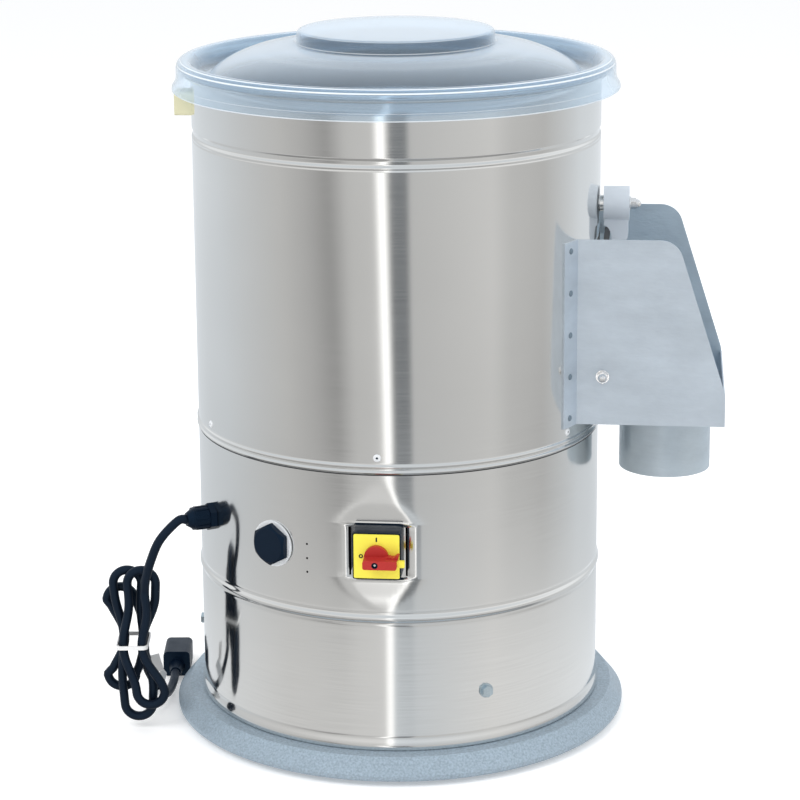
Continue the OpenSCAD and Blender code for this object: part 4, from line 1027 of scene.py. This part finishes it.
    @staticmethod
    def stops(levels: tuple[Flat, ...]) -> list[tuple[float, Point]]:
        """The stops of a ramp once round the room, cool behind and in the doorway, warm elsewhere.

        Args:
            levels: Directions in degrees and their brightness.

        Returns:
            Places as shares of a turn, and colours.
        """
        made = []
        for degrees, level in levels:
            cool = 0.05 if abs(degrees) > 95 or 2 < degrees < 13 else -0.005
            made.append(((degrees + 180) / 360, (level * (1 - cool), level, level * (1 + cool))))
        return made

    def make_lamps(self) -> None:
        """Hangs soft lamps above and to both sides."""
        for name, azimuth, reach, height, size, power in self.lamps:
            data = bpy.data.lights.new(name, "AREA")
            data.energy = power
            data.size = size
            lamp = bpy.data.objects.new(name, data)
            bpy.context.scene.collection.objects.link(lamp)
            lamp.location = around(azimuth, reach, height)
            way = Vector(self.lamp_aim) - lamp.location
            lamp.rotation_euler = way.to_track_quat("-Z", "Y").to_euler()
            lamp.visible_glossy = False


# ---------------------------------------------------------------- cord


@dataclass
class MainsCord:
    """The mains cord: a free lead, a hank of three loops and a tail to the plug."""

    turn: float = 6.0
    diameter: float = 9.0
    length: float = 1.21
    exit_azimuth: float = -60.0
    exit_reach: float = 228.0
    exit_height: float = 224.0
    centre: Flat = (-266, -70)
    waist: float = 90.0
    waist_half: float = 9.5
    waist_span: float = 48.0
    climb_from: float = 56.0
    climb_to: float = 126.0
    bend: float = 14.0
    step: float = 10.0
    fine: int = 14
    tops: tuple[Flat, ...] = ((10, 166), (-5, 163), (-13, 142))
    bottoms: tuple[Flat, ...] = ((17, 28), (4, 12), (-13, 40))
    start: Flat = (14, 140)
    end: Flat = (11, 66)
    lead: tuple[Point, ...] = (
        (-216.5, -96.4, 223.8), (-234, -101, 206), (-244, -98, 183), (-250, -91, 162), (-252, -85, 149)
    )
    tail: tuple[Point, ...] = (
        (-255, -55, 57), (-251, -49, 43), (-245, -35, 25), (-240, -16, 12), (-237, 6, 8.5), (-235, 26, 10.6),
        (-235, 35, 11),
    )
    plug: Point = (-235, 62, 0)
    plug_relief: float = 18.0
    plug_entry: float = 11.0
    # The separate pieces on the cord: its plug, the plug's blades, the tie and the white wrap
    carried: tuple[str, ...] = ("mains_plug_part", "plug_blades_part", "cord_tie", "cord_tag_part")

    def build(self, shop: Workshop) -> Piece:
        """Makes the whole cord as one smooth tube.

        Args:
            shop: Where the pieces are dressed and placed.

        Returns:
            The cord.
        """
        route = self.route()
        data = bpy.data.curves.new("mains_cord", "CURVE")
        data.dimensions = "3D"
        data.bevel_depth = self.diameter / 2 * MM
        data.bevel_resolution = 5
        data.use_fill_caps = True
        spline = data.splines.new("POLY")
        spline.points.add(len(route) - 1)
        for point, place in zip(spline.points, route):
            point.co = (*place, 1.0)
        spline.use_smooth = True
        cord = bpy.data.objects.new("mains_cord", data)
        bpy.context.scene.collection.objects.link(cord)
        return shop.place(cord, Body.STAND, "cord_rubber", "cord_lead", "cord_hank", "cord_tail")

    def declare(self) -> None:
        """Works out the cord's route once more and keeps nothing of it.
        """
        self.route()[0]

    def route(self) -> list[Point]:
        """The cord's centreline from the gland to the plug.

        Returns:
            The points in the frame.
        """
        hank = self.hank()
        leaves = around(self.exit_azimuth - self.turn, self.exit_reach, self.exit_height)
        lead = self.smooth_line([leaves, *self.lead, hank[0]], 6)
        entry = (self.plug[0], self.plug[1] - self.plug_relief, self.plug_entry)
        tail = self.smooth_line([hank[-1], *self.tail, entry], 6)
        whole = lead[:-1] + self.smooth_line(hank, 2)[:-1] + tail
        turned = Matrix.Rotation(math.radians(self.turn), 3, "Z")
        return [tuple(turned @ Vector(p) * MM) for p in whole]

    @staticmethod
    def smooth_line(points: list[Point], steps: int) -> list[Point]:
        """Puts points on one smooth line through the given ones.

        Args:
            points: The points to pass through.
            steps: The number of stretches between two of them.

        Returns:
            The finer points.
        """
        made = []
        for i in range(len(points) - 1):
            a, b, c, d = (Vector(points[min(max(j, 0), len(points) - 1)]) for j in range(i - 1, i + 3))
            for k in range(steps + (i == len(points) - 2)):
                s = k / steps
                place = 2 * b + (c - a) * s + (2 * a - 5 * b + 4 * c - d) * s**2 + (3 * b - a - 3 * c + d) * s**3
                made.append(tuple(0.5 * place))
        return made

    def spot(self, across: float, up: float, layer: float) -> Point:
        """A place in the hank, from its distance across, its height and its layer."""
        return (self.centre[0] + across, self.centre[1] + (layer - len(self.tops) / 2) * self.step, up)

    def climb(self, up: float) -> float:
        """How much of one layer a climbing run has gained at a height."""
        share = min(1.0, max(0.0, (up - self.climb_from) / (self.climb_to - self.climb_from)))
        return (1 - math.cos(math.pi * share)) / 2

    def run(self, start: Flat, end: Flat, side: int, layer: float, climb: int) -> list[Point]:
        """One run of the hank, drawn in at the waist.

        Args:
            start: Where the run starts, as distance across and height.
            end: Where it ends.
            side: 1 for a run on the right, -1 on the left.
            layer: The layer that it starts in.
            climb: How many layers it climbs.

        Returns:
            The run's points without its ends.
        """
        made = []
        for k in range(1, self.fine):
            s = k / self.fine
            up = start[1] + (end[1] - start[1]) * s
            pull = math.cos(math.pi / 2 * min(1.0, abs(up - self.waist) / self.waist_span)) ** 2
            across = (start[0] + (end[0] - start[0]) * s) * (1 - pull) + side * self.waist_half * pull
            made.append(self.spot(across, up, layer + climb * self.climb(up)))
        return made

    def bend_round(self, tip: Flat, side: int, start: float, layer: float) -> list[Point]:
        """One half-round turn of the hank.

        Args:
            tip: The outermost place, as distance across and height.
            side: 1 for a turn at the top, -1 at the bottom.
            start: The angle where it starts, in degrees.
            layer: The layer that it lies in.

        Returns:
            The turn's points.
        """
        made = []
        for k in range(self.fine + 1):
            a = math.radians(start - 180 * k / self.fine)
            up = tip[1] - side * self.bend + self.bend * math.sin(a)
            made.append(self.spot(tip[0] + self.bend * math.cos(a), up, layer))
        return made

    def hank(self) -> list[Point]:
        """The hank's three loops.

        Returns:
            The points from the lead to the tail.
        """
        first = self.bottoms[0]
        made = [self.spot(*self.start, 0)]
        made += self.run(self.start, (first[0] + self.bend, first[1] + self.bend), 1, 0, 0)
        for i, (top, bottom) in enumerate(zip(self.tops, self.bottoms)):
            made += self.bend_round(bottom, -1, 360, i)
            made += self.run(
                (bottom[0] - self.bend, bottom[1] + self.bend), (top[0] - self.bend, top[1] - self.bend), -1, i, 1
            )
            made += self.bend_round(top, 1, 180, i + 1)
            last = i == len(self.tops) - 1
            following = self.end if last else self.bottoms[i + 1]
            goal = following if last else (following[0] + self.bend, following[1] + self.bend)
            made += self.run((top[0] + self.bend, top[1] - self.bend), goal, 1, i + 1, 0)
        made.append(self.spot(*self.end, len(self.tops)))
        return made


# ---------------------------------------------------------------- sheet metal


@dataclass
class HousingSheet:
    """The lower housing as one rolled sheet, with its bead, its hem and the pad drawn in for the switch."""

    radius: float = 200.0
    thickness: float = 1.2
    foot: float = 26.0
    top: float = 300.2
    # The rolled hem, from inside to outside: how far out of the wall, and height over the foot
    hem: tuple[Flat, ...] = (
        (-1.1, 1.6), (-0.4, 0.4), (0.6, 0.1), (1.5, 0.5), (2.1, 1.6), (2.3, 3.2), (2.2, 5), (1.8, 7), (1.2, 9),
        (0.55, 11), (0.15, 12.6), (0.0, 14),
    )
    bead: float = 159.0
    bead_rise: float = 1.9
    bead_half: float = 4.4
    # The dip at both sides of the bead: how deep, how far from its middle, and how wide
    bead_dip: Point = (0.22, 5.6, 1.1)
    pad_z: float = 225.0
    pad_width: float = 57.0
    pad_height: float = 54.0
    pad_corner: float = 4.0
    pad_floor: float = 195.5
    # The lip round the pad: how high, how far outside its edge, and how wide
    pad_lip: Point = (0.55, 1.0, 0.7)
    # How far outside the pad's edge the step down to its floor ends and begins
    pad_slope: Flat = (-1.3, 0.4)
    round_from: float = 54.0
    flat_rise: float = 78.0
    # The sheet's curve beside the flat: how wide beside a flat of half a given width, and how full
    blend: float = 24.0
    blend_at: float = 30.0
    blend_fill: float = 0.61
    # Half the width of the flat at a height above and below the switch's axis
    flats_above: tuple[Flat, ...] = (
        (27, 29.5), (31.5, 26.8), (36, 23.6), (40.5, 19.9), (45, 15.8), (52, 12), (59, 9), (66, 4.5), (72, 1.5), (78, 0)
    )
    flats_below: tuple[Flat, ...] = (
        (27, 29.5), (32, 26.4), (37, 22.9), (42, 18.6), (48, 12.8), (53, 8), (58, 3), (62, 0)
    )
    slot_in: float = 25.8
    slot_width: float = 1.9
    slot_height: float = 48.0
    vent_azimuth: float = -20.1
    vents: tuple[float, ...] = (199.8, 213.4, 227.6)
    vent_radius: float = 1.1
    # How far from the axis the cutters of the slots and of the vents begin and end
    slot_reach: Flat = (206.0, 186.0)
    vent_reach: Flat = (190.0, 210.0)
    # How far from the axis the seam's sealant begins and ends
    seam_radii: Flat = (198.9, 199.75)
    # Turns from +X on, finer where the pad's edges are
    turns: tuple[tuple[float, int], ...] = (
        (254.0, 170), (6.8, 12), (2.0, 10), (14.4, 18), (2.0, 10), (6.8, 12), (74.0, 50)
    )

    def build(self, shop: Workshop) -> None:
        """Makes the sheet and the sealant in the seam above it.

        Args:
            shop: Where the pieces are dressed and placed.
        """
        sheet = revolve("housing_sheet", scaled(self.outline()), self.turns)
        self.draw_in(sheet)
        cut(sheet, *self.slots(), *self.vent_pins())
        smooth(sheet, 42.0)
        shop.place(sheet, Body.STAND, "stainless_sheet", "lower_housing")
        back, front = self.seam_radii
        line = [(back, self.top - 0.6), (front, self.top - 0.4), (front, self.top + 1.4), (back, self.top + 1.6)]
        shop.place(revolve("seam_sealant", scaled(line)), Body.STAND, "rubber")

    def outline(self) -> list[Flat]:
        """The sheet's section, as distance from the axis and height.

        Returns:
            The closed outline.
        """
        r, inner = self.radius, self.radius - self.thickness
        line = [(inner, 40), (inner, 30)] + [(r + out, self.foot + up) for out, up in self.hem]
        line += [(r, z) for z in (41, 44, 50, 60, 100, 130, self.bead - 13, self.bead - 10)]
        line += [(r + out, self.bead + up) for up, out in self.bead_line()]
        line += [(r, z) for z in (self.bead + 10, *range(172, 194, 3))]
        low, high = self.pad_z - self.pad_height / 2, self.pad_z + self.pad_height / 2
        line += [(r, low - 3 + 0.6 * k) for k in range(1, 11)]
        line += [(r, low + 3 + (self.pad_height - 6) * k / 12) for k in range(1, 13)]
        line += [(r, high - 3 + 0.6 * k) for k in range(1, 11)]
        line += [(r, z) for z in (257, 260, 263, 266, 270, 274, 279, 284, 289, 294, 298, self.top)]
        line += [(inner, z) for z in (self.top, 290, 280, 270, 262, 255, 245, 235, 225, 215, 205, 196, 188, 178, 168)]
        line += [(inner + out, self.bead + up) for up, out in self.bead_line()[::-3]]
        return line + [(inner, 130), (inner, 80)]

    def bead_line(self) -> list[Flat]:
        """The bead's rise over the wall.

        Returns:
            Points from its lower side to its upper side, as height and rise.
        """
        deep, middle, width = self.bead_dip
        made = []
        for k in range(-16, 17):
            up = k * 0.5
            crest = self.bead_rise * math.cos(math.pi / 2 * min(1.0, abs(up) / self.bead_half)) ** 1.5
            made.append((up, crest - deep * math.exp(-(((abs(up) - middle) / width) ** 2))))
        return made

    def wall(self, across: float, up: float) -> float:
        """How far in front of the axis the drawn-in sheet stands.

        Args:
            across: Distance from the switch's axis sideways.
            up: Height above the switch's axis.

        Returns:
            The distance in millimetres.
        """
        place = whole = math.sqrt(self.radius**2 - across**2)
        half = self.flat_half(up)
        span = self.blend * math.sqrt(half / self.blend_at)
        edge = half + span
        if half > 0 and abs(across) < edge:
            end = math.sqrt(self.radius**2 - edge**2)
            slope = -edge / end
            flat = end - self.blend_fill * span * slope
            share = max(0.0, (abs(across) - half) / span)
            place = flat + (end - flat) * (3 * share**2 - 2 * share**3) + span * slope * (share**3 - share**2)
            place = min(place, whole)
        dx = abs(across) - self.pad_width / 2 + self.pad_corner
        dz = abs(up) - self.pad_height / 2 + self.pad_corner
        edge = math.hypot(max(dx, 0), max(dz, 0)) + min(max(dx, dz), 0) - self.pad_corner
        lip, lip_at, lip_width = self.pad_lip
        place += lip * math.exp(-(((edge - lip_at) / lip_width) ** 2))
        return place + (self.pad_floor - place) * (1 - ease(edge, *self.pad_slope))

    def flat_half(self, up: float) -> float:
        """Half the width of the drawn-in flat.

        Args:
            up: Height above the switch's axis.

        Returns:
            The half width in millimetres.
        """
        table = self.flats_above if up > 0 else self.flats_below
        if abs(up) <= table[0][0]:
            return table[0][1]
        for (low, first), (high, second) in zip(table, table[1:]):
            if abs(up) < high:
                return first + (second - first) * (abs(up) - low) / (high - low)
        return 0.0

    def draw_in(self, sheet: Piece) -> None:
        """Moves the sheet's points round the switch onto the drawn-in face.

        Args:
            sheet: The spun sheet.
        """
        for vertex in sheet.data.vertices:
            x, y, z = (c / MM for c in vertex.co)
            up = z - self.pad_z
            if y < 0 and abs(x) < self.round_from and abs(up) < self.flat_rise:
                across = x * self.radius / math.hypot(x, y) if math.hypot(x, y) < self.radius else x
                vertex.co.y -= (self.wall(across, up) - math.sqrt(self.radius**2 - across**2)) * MM

    def slots(self) -> list[Piece]:
        """The cutters of the narrow slots at both sides of the pad.

        Returns:
            The two cutters.
        """
        made = []
        outside, inside = self.slot_reach
        foot, head = self.pad_z - self.slot_height / 2, self.pad_z + self.slot_height / 2
        for side in (-1, 1):
            low, high = sorted((side * self.slot_in, side * (self.slot_in + self.slot_width)))
            made.append(block("slot", (low * MM, -outside * MM, foot * MM), (high * MM, -inside * MM, head * MM)))
        return made

    def vent_pins(self) -> list[Piece]:
        """The cutters of the small vent holes."""
        ends = [[around(self.vent_azimuth, r * MM, z * MM) for r in self.vent_reach] for z in self.vents]
        return [rod("vent", self.vent_radius * MM, low, high, 20) for low, high in ends]


@dataclass
class DrumSheet:
    """The drum as one rolled sheet, from the two ridges of the seam to the wire in its rim."""

    radius: float = 200.0
    thickness: float = 1.2
    seam: float = 301.3
    # Each ridge's middle, half its height, and how far it stands out
    ridges: tuple[Point, ...] = ((303.4, 1.9, 1.5), (308.9, 2.1, 1.4))
    groove: float = 595.0
    # The groove's line from its top to the fine ridge under it: height over its middle, and how far out
    groove_line: tuple[Flat, ...] = (
        (5.6, 0.0), (2.4, -1.25), (-0.4, -1.3), (-4.2, 0.15), (-5.6, -0.35), (-7.2, 0.0)
    )
    wire: Flat = (206.1, 658.0)
    wire_radius: float = 6.0
    # The angles in degrees between which the sheet is curled round the wire
    wire_turn: Flat = (-148.0, 168.0)
    # The openings on the chute's side: half the width, and the heights of the sill and of the top
    door: Point = (64.1, 377.9, 478.1)
    waste: Point = (55.0, 328.0, 342.0)
    # How far from the axis the cutters of both openings begin and end
    cut_reach: Flat = (150.0, 230.0)

    def build(self, shop: Workshop) -> None:
        """Makes the sheet with its door opening and waste slot.

        Args:
            shop: Where the pieces are dressed and placed.
        """
        sheet = revolve("drum_sheet", scaled(self.outline()))
        inside, outside = self.cut_reach
        for half, low, high in (self.door, self.waste):
            cut(sheet, block("opening", (inside * MM, -half * MM, low * MM), (outside * MM, half * MM, high * MM)))
        smooth(sheet, 42.0)
        shop.place(sheet, Body.STAND, "stainless_sheet", "drum")

    def rise(self, height: float) -> float:
        """How far the wall stands out of its plain round.

        Args:
            height: The height in millimetres.

        Returns:
            The distance in millimetres.
        """
        out = 0.0
        for middle, half, most in self.ridges:
            out += most * math.cos(math.pi / 2 * min(1.0, abs(height - middle) / half)) ** 1.3
        up = height - self.groove
        for (high, first), (low, second) in zip(self.groove_line, self.groove_line[1:]):
            if low < up <= high:
                out += first + (second - first) * ease(high - up, 0, high - low)
        return out

    def outline(self) -> list[Flat]:
        """The sheet's section, as distance from the axis and height.

        Returns:
            The closed outline.
        """
        r, inner = self.radius, self.radius - self.thickness
        heights = [self.seam + 0.35 * k for k in range(29)] + [312.4, 313.5, 322, 335, 360, 400, 450, 500, 550, 580]
        heights += [self.groove - 8 + 0.35 * k for k in range(41)] + [606, 625, 640]
        line = [(r + self.rise(z), z) for z in heights]
        line += [(r, self.wire[1] - 9), (r + 1.2, self.wire[1] - 6.5)]
        line += arc(self.wire, self.wire_radius, *self.wire_turn, 26)
        line += [(inner, z) for z in (self.wire[1] - 5, 640, 606)]
        line += [(inner + self.rise(z), z) for z in (601, 599, 597, 595, 593, 591, 589)]
        return line + [(inner, z) for z in (580, 500, 400, 320, 312, self.seam)]


@dataclass
class ClearLid:
    """The clear lid: a skirt over the rim's wire, a dome and a raised round cap."""

    drum_r: float = 200.0
    rim: float = 664.0
    thickness: float = 1.6
    skirt_r: float = 218.5
    skirt_drop: float = 27.0
    wire: Flat = (206.1, 658.0)
    wire_r: float = 6.0
    gap: float = 0.3
    cap_r: float = 96.5
    cap_h: float = 14.0
    cap_round: float = 4.5
    cap_flat: float = 60.0
    dome_rise: float = 14.5
    # The dome's shoulder: how far in towards the cap, and how far under the dome's top
    shoulder: Flat = (0.58, 5.5)

    def build(self, shop: Workshop) -> None:
        """Makes the lid.

        Args:
            shop: Where the piece is dressed and placed.
        """
        lid = revolve("lid_shell", scaled(sheet_outline(self.line(), self.thickness)), ((360.0, 200),))
        smooth(lid, 50.0)
        shop.place(lid, Body.COVER, "clear_plastic", "lid")

    def line(self) -> list[Flat]:
        """The lid's outer face.

        Returns:
            The points from the skirt's edge to the axis.
        """
        edge, dome = self.rim - self.skirt_drop, self.rim + self.dome_rise
        top = dome + self.cap_h
        roll = self.wire_r + self.gap + self.thickness
        wall = self.wire[0] + roll
        share, drop = self.shoulder
        r, z, cap = self.drum_r, self.rim, self.cap_r
        shoulder = (r + (cap - r) * share, dome - drop)
        line = [(self.skirt_r, edge), (self.skirt_r - 0.3, edge + 2.5)]
        line += bezier((self.skirt_r - 1.6, edge + 4.5), (wall, edge + 8.5), (wall, edge + 15), 8)
        line += arc(self.wire, roll, 0, 150, 16)
        line += bezier((r - 3.2, z - 6), (r - 6, z - 16), (r - 12, z - 17.5), 8)
        line += bezier((r - 16, z - 16.5), (r - 28, dome - 14.5), shoulder, 14)
        line += bezier((shoulder[0] - 4, shoulder[1] + 0.7), (cap + 20, dome), (cap + 6, dome), 8)
        line += bezier((cap + 4, dome + 0.2), (cap + 0.5, dome + 0.5), (cap, dome + 4), 6)
        line += arc((cap - self.cap_round, top - self.cap_round), self.cap_round, 0, 90, 8)
        return line + [(self.cap_flat, top), (0, top)]


@dataclass
class SwitchMarks:
    """The two printed marks of the switch plate, the screw in the handle's well, and a dark sleeve painted as that
    well's shade.
    """

    axis_z: float = 225.0
    face: float = 211.7
    front: float = 229.7
    ink: float = 0.12
    # The upright mark: half its width, and its heights over the axis
    bar: Point = (0.7, 14.5, 18.7)
    # The round mark: its place and its two radii
    ring: Flat = (-14.7, 0.2)
    ring_radii: Flat = (2.0, 0.95)
    # The well: its height over the axis, its two radii, and how deep its back, front and floor lie
    well_z: float = -2.85
    well_radii: Flat = (3.0, 2.3)
    well_depths: Point = (1.95, 0.05, 1.7)
    # The screw's head: its radius, how deep its back and front lie, and its slot's half length, half width and depth
    screw_radius: float = 1.15
    screw_depths: Flat = (1.75, 0.9)
    screw_slot: Point = (3.0, 0.3, 1.2)

    def build(self, shop: Workshop) -> None:
        """Makes the marks and the screw.

        Args:
            shop: Where the pieces are dressed and placed.
        """
        half, low, high = self.bar
        upright = block(
            "mark_on", (-half * MM, -(self.face + self.ink) * MM, (self.axis_z + low) * MM),
            (half * MM, -self.face * MM, (self.axis_z + high) * MM),
        )
        bevel(upright, 0.05 * MM)
        shop.place(upright, Body.STAND, "black_plastic")
        shop.place(self.ring_mark(), Body.STAND, "black_plastic")
        # A dark sleeve painted as the shade in the screw's well
        shop.place(self.well(), Body.HANDLE, "black_plastic")
        shop.place(self.screw(), Body.HANDLE, "bright_steel")

    def ring_mark(self) -> Piece:
        """The round mark at the plate's left.

        Returns:
            The ring.
        """
        outer, inner = self.ring_radii
        ring = self.disc("mark_off", outer, self.face, self.face + self.ink, *self.ring)
        cut(ring, self.disc("hole", inner, self.face - 1, self.face + 1, *self.ring))
        return ring

    def disc(self, name: str, radius: float, back: float, front: float, across: float, up: float) -> Piece:
        """A short round bar that points out of the switch, between two distances in front of the drum's axis."""
        z = (self.axis_z + up) * MM
        return rod(name, radius * MM, (across * MM, -back * MM, z), (across * MM, -front * MM, z), 40)

    def well(self) -> Piece:
        """A dark sleeve in the screw's well in the handle, painted as the well's shade.

        Returns:
            The dark sleeve of painted shade.
        """
        outer, inner = self.well_radii
        back, front, floor = (self.front - depth for depth in self.well_depths)
        well_shade = self.disc("handle_well_shade", outer, back, front, 0, self.well_z)
        cut(well_shade, self.disc("hole", inner, floor, self.front + 1, 0, self.well_z))
        return well_shade

    def screw(self) -> Piece:
        """The screw's slotted head in the well.

        Returns:
            The head.
        """
        back, front = (self.front - depth for depth in self.screw_depths)
        head = self.disc("handle_screw", self.screw_radius, back, front, 0, self.well_z)
        bevel(head, 0.25 * MM)
        half, width, depth = self.screw_slot
        up = self.axis_z + self.well_z
        outside, inside = -(self.front + 1) * MM, -(self.front - depth) * MM
        cut(head, block("slot", (-half * MM, outside, (up - width) * MM), (half * MM, inside, (up + width) * MM)))
        return head


@dataclass
class BlindRivets:
    """The pulled rivets round the seam, each a bright flange with a dark disc in its hollow middle, painted as shade.
    """

    radius: float = 200.0
    height: float = 317.5
    azimuths: tuple[float, ...] = (0, 60, 120, 180, 240, 300)
    # The flange's section: distance from the rivet's axis, and height over the sheet
    flange: tuple[Flat, ...] = (
        (1.15, -0.3), (1.15, 1.0), (1.45, 1.3), (2.5, 1.15), (3.4, 0.6), (3.75, 0.1), (3.75, -0.3)
    )
    # The dark disc painted as the shade in each rivet's hollow middle: distance from the rivet's axis, and height over
    # the sheet
    hollow_shade: tuple[Flat, ...] = ((0, -0.3), (0, 0.5), (0.9, 0.6), (1.12, 0.4), (1.12, -0.3))

    def build(self, shop: Workshop) -> None:
        """Makes all flanges as one piece, and all dark discs painted as the shade in the rivets' hollows as another.

        Args:
            shop: Where the pieces are dressed and placed.
        """
        slot = shop.slot_of["deck_rivets"]
        flanges = shop.place(self.row("rivet_flanges", self.flange), Body.STAND, slot, "deck_rivets")
        shop.dress(flanges, "rivet_bright")
        shop.place(self.row("rivet_hollow_shade", self.hollow_shade), Body.STAND, "black_plastic")

    def row(self, name: str, section: tuple[Flat, ...]) -> Piece:
        """Spins one section at each azimuth and joins the results.

        Args:
            name: The object's name.
            section: The closed section.

        Returns:
            The joined object.
        """
        made = []
        for azimuth in self.azimuths:
            piece = revolve(name, scaled(list(section)), ((360.0, 28),))
            piece.rotation_euler = (math.radians(90), 0.0, math.radians(azimuth))
            piece.location = around(azimuth, self.radius * MM, self.height * MM)
            settle(piece)
            made.append(piece)
        whole = join(*made)
        smooth(whole)
        return whole


# The rounded nodes that move, and the body that each rides on
MOVING = {
    "latch_lever": Body.LATCH, "switch_handle": Body.HANDLE, "lock_slide": Body.LOCK,
    "door": Body.DOOR, "door_seal": Body.DOOR,
}
# The rounded nodes that look unlike the rest of their slot, and the finish of each; the chute back plate's darker sheet
# is painted shade
UNLIKE_SLOT = {
    "waste_tube": "tube_steel", "chute_back_plate": "painted_shade_sheet", "housing_bolts": "bolt_steel",
    "blanking_washer": "rivet_bright",
}


@dataclass
class SmallParts:
    """CAD nodes whose sharp edges are rounded for the light."""

    # Each node and how wide its sharp edges are rounded, in millimetres
    rounded: tuple[tuple[str, float], ...] = (
        ("housing_bolts", 0.3), ("hinge_nuts", 0.25), ("latch_nut", 0.25), ("latch_lever", 0.8), ("cable_gland", 0.3),
        ("blanking_plug", 0.5), ("blanking_washer", 0.4), ("interlock_switch", 0.8), ("switch_housing", 0.6),
        ("switch_plate", 0.25), ("switch_handle", 0.5), ("lock_slide", 0.4), ("chute_front_plate", 0.35),
        ("chute_back_plate", 0.35), ("chute_tray", 0.35), ("waste_tube", 0.3), ("door", 0.4), ("door_seal", 0.8),
        ("mains_plug", 0.6), ("plug_blades", 0.3), ("base", 1.0),
    )
    # The tag's bare flag: its size, its lean and turn in degrees, and how far it is left of and under the wrap's top
    flag: Point = (13.0, 0.8, 19.0)
    flag_lean: Flat = (-14.0, 8.0)
    flag_offset: Flat = (2.0, 4.0)

    def build(self, shop: Workshop) -> None:
        """Copies each node, rounds its edges and puts it in the node's place.

        Args:
            shop: Where the pieces are dressed and placed.
        """
        for node, width in self.rounded:
            piece = shop.copy_of(node, f"{node}_part", width * MM)
            shop.place(piece, MOVING.get(node, Body.STAND), shop.slot_of[node], node)
            if node in UNLIKE_SLOT:
                shop.dress(piece, UNLIKE_SLOT[node])
        shop.dress(shop.frame["nodes"]["chute_rivets"], "rivet_dull")
        self.tag(shop)

    def tag(self, shop: Workshop) -> None:
        """Makes the white wrap near the plug, with the bare flag that stands off it.

        Args:
            shop: Where the pieces are dressed and placed.
        """
        wrap = shop.copy_of("cord_tag", "cord_tag_part", 0.1 * MM)
        corners = [Vector(corner) for corner in wrap.bound_box]
        middle = sum(corners, Vector()) / 8
        top = max(corner.z for corner in corners)
        width, thickness, height = (size * MM for size in self.flag)
        flag = block("flag", (-width / 2, -thickness / 2, 0.0), (width / 2, thickness / 2, height))
        bevel(flag, 0.15 * MM)
        flag.rotation_euler = (0.0, *(math.radians(degrees) for degrees in self.flag_lean))
        left, under = (offset * MM for offset in self.flag_offset)
        flag.location = (middle.x - left, middle.y, top - under)
        settle(flag)
        shop.place(join(wrap, flag), Body.STAND, shop.slot_of["cord_tag"], "cord_tag")


# ---------------------------------------------------------------- all of it


def main() -> None:
    """Builds the scene."""
    logging.basicConfig(level=logging.INFO, format="%(name)s: %(message)s")
    bpy.ops.wm.read_factory_settings(use_empty=True)
    shop = Workshop()
    Studio().build()
    mains_cord = MainsCord()
    cord = mains_cord.build(shop)
    for part in (HousingSheet(), DrumSheet(), BlindRivets(), ClearLid(), SwitchMarks()):
        LOG.info("%s", type(part).__name__)
        part.build(shop)
    SmallParts().build(shop)
    mains_cord.declare()


if __name__ == "__main__":
    main()
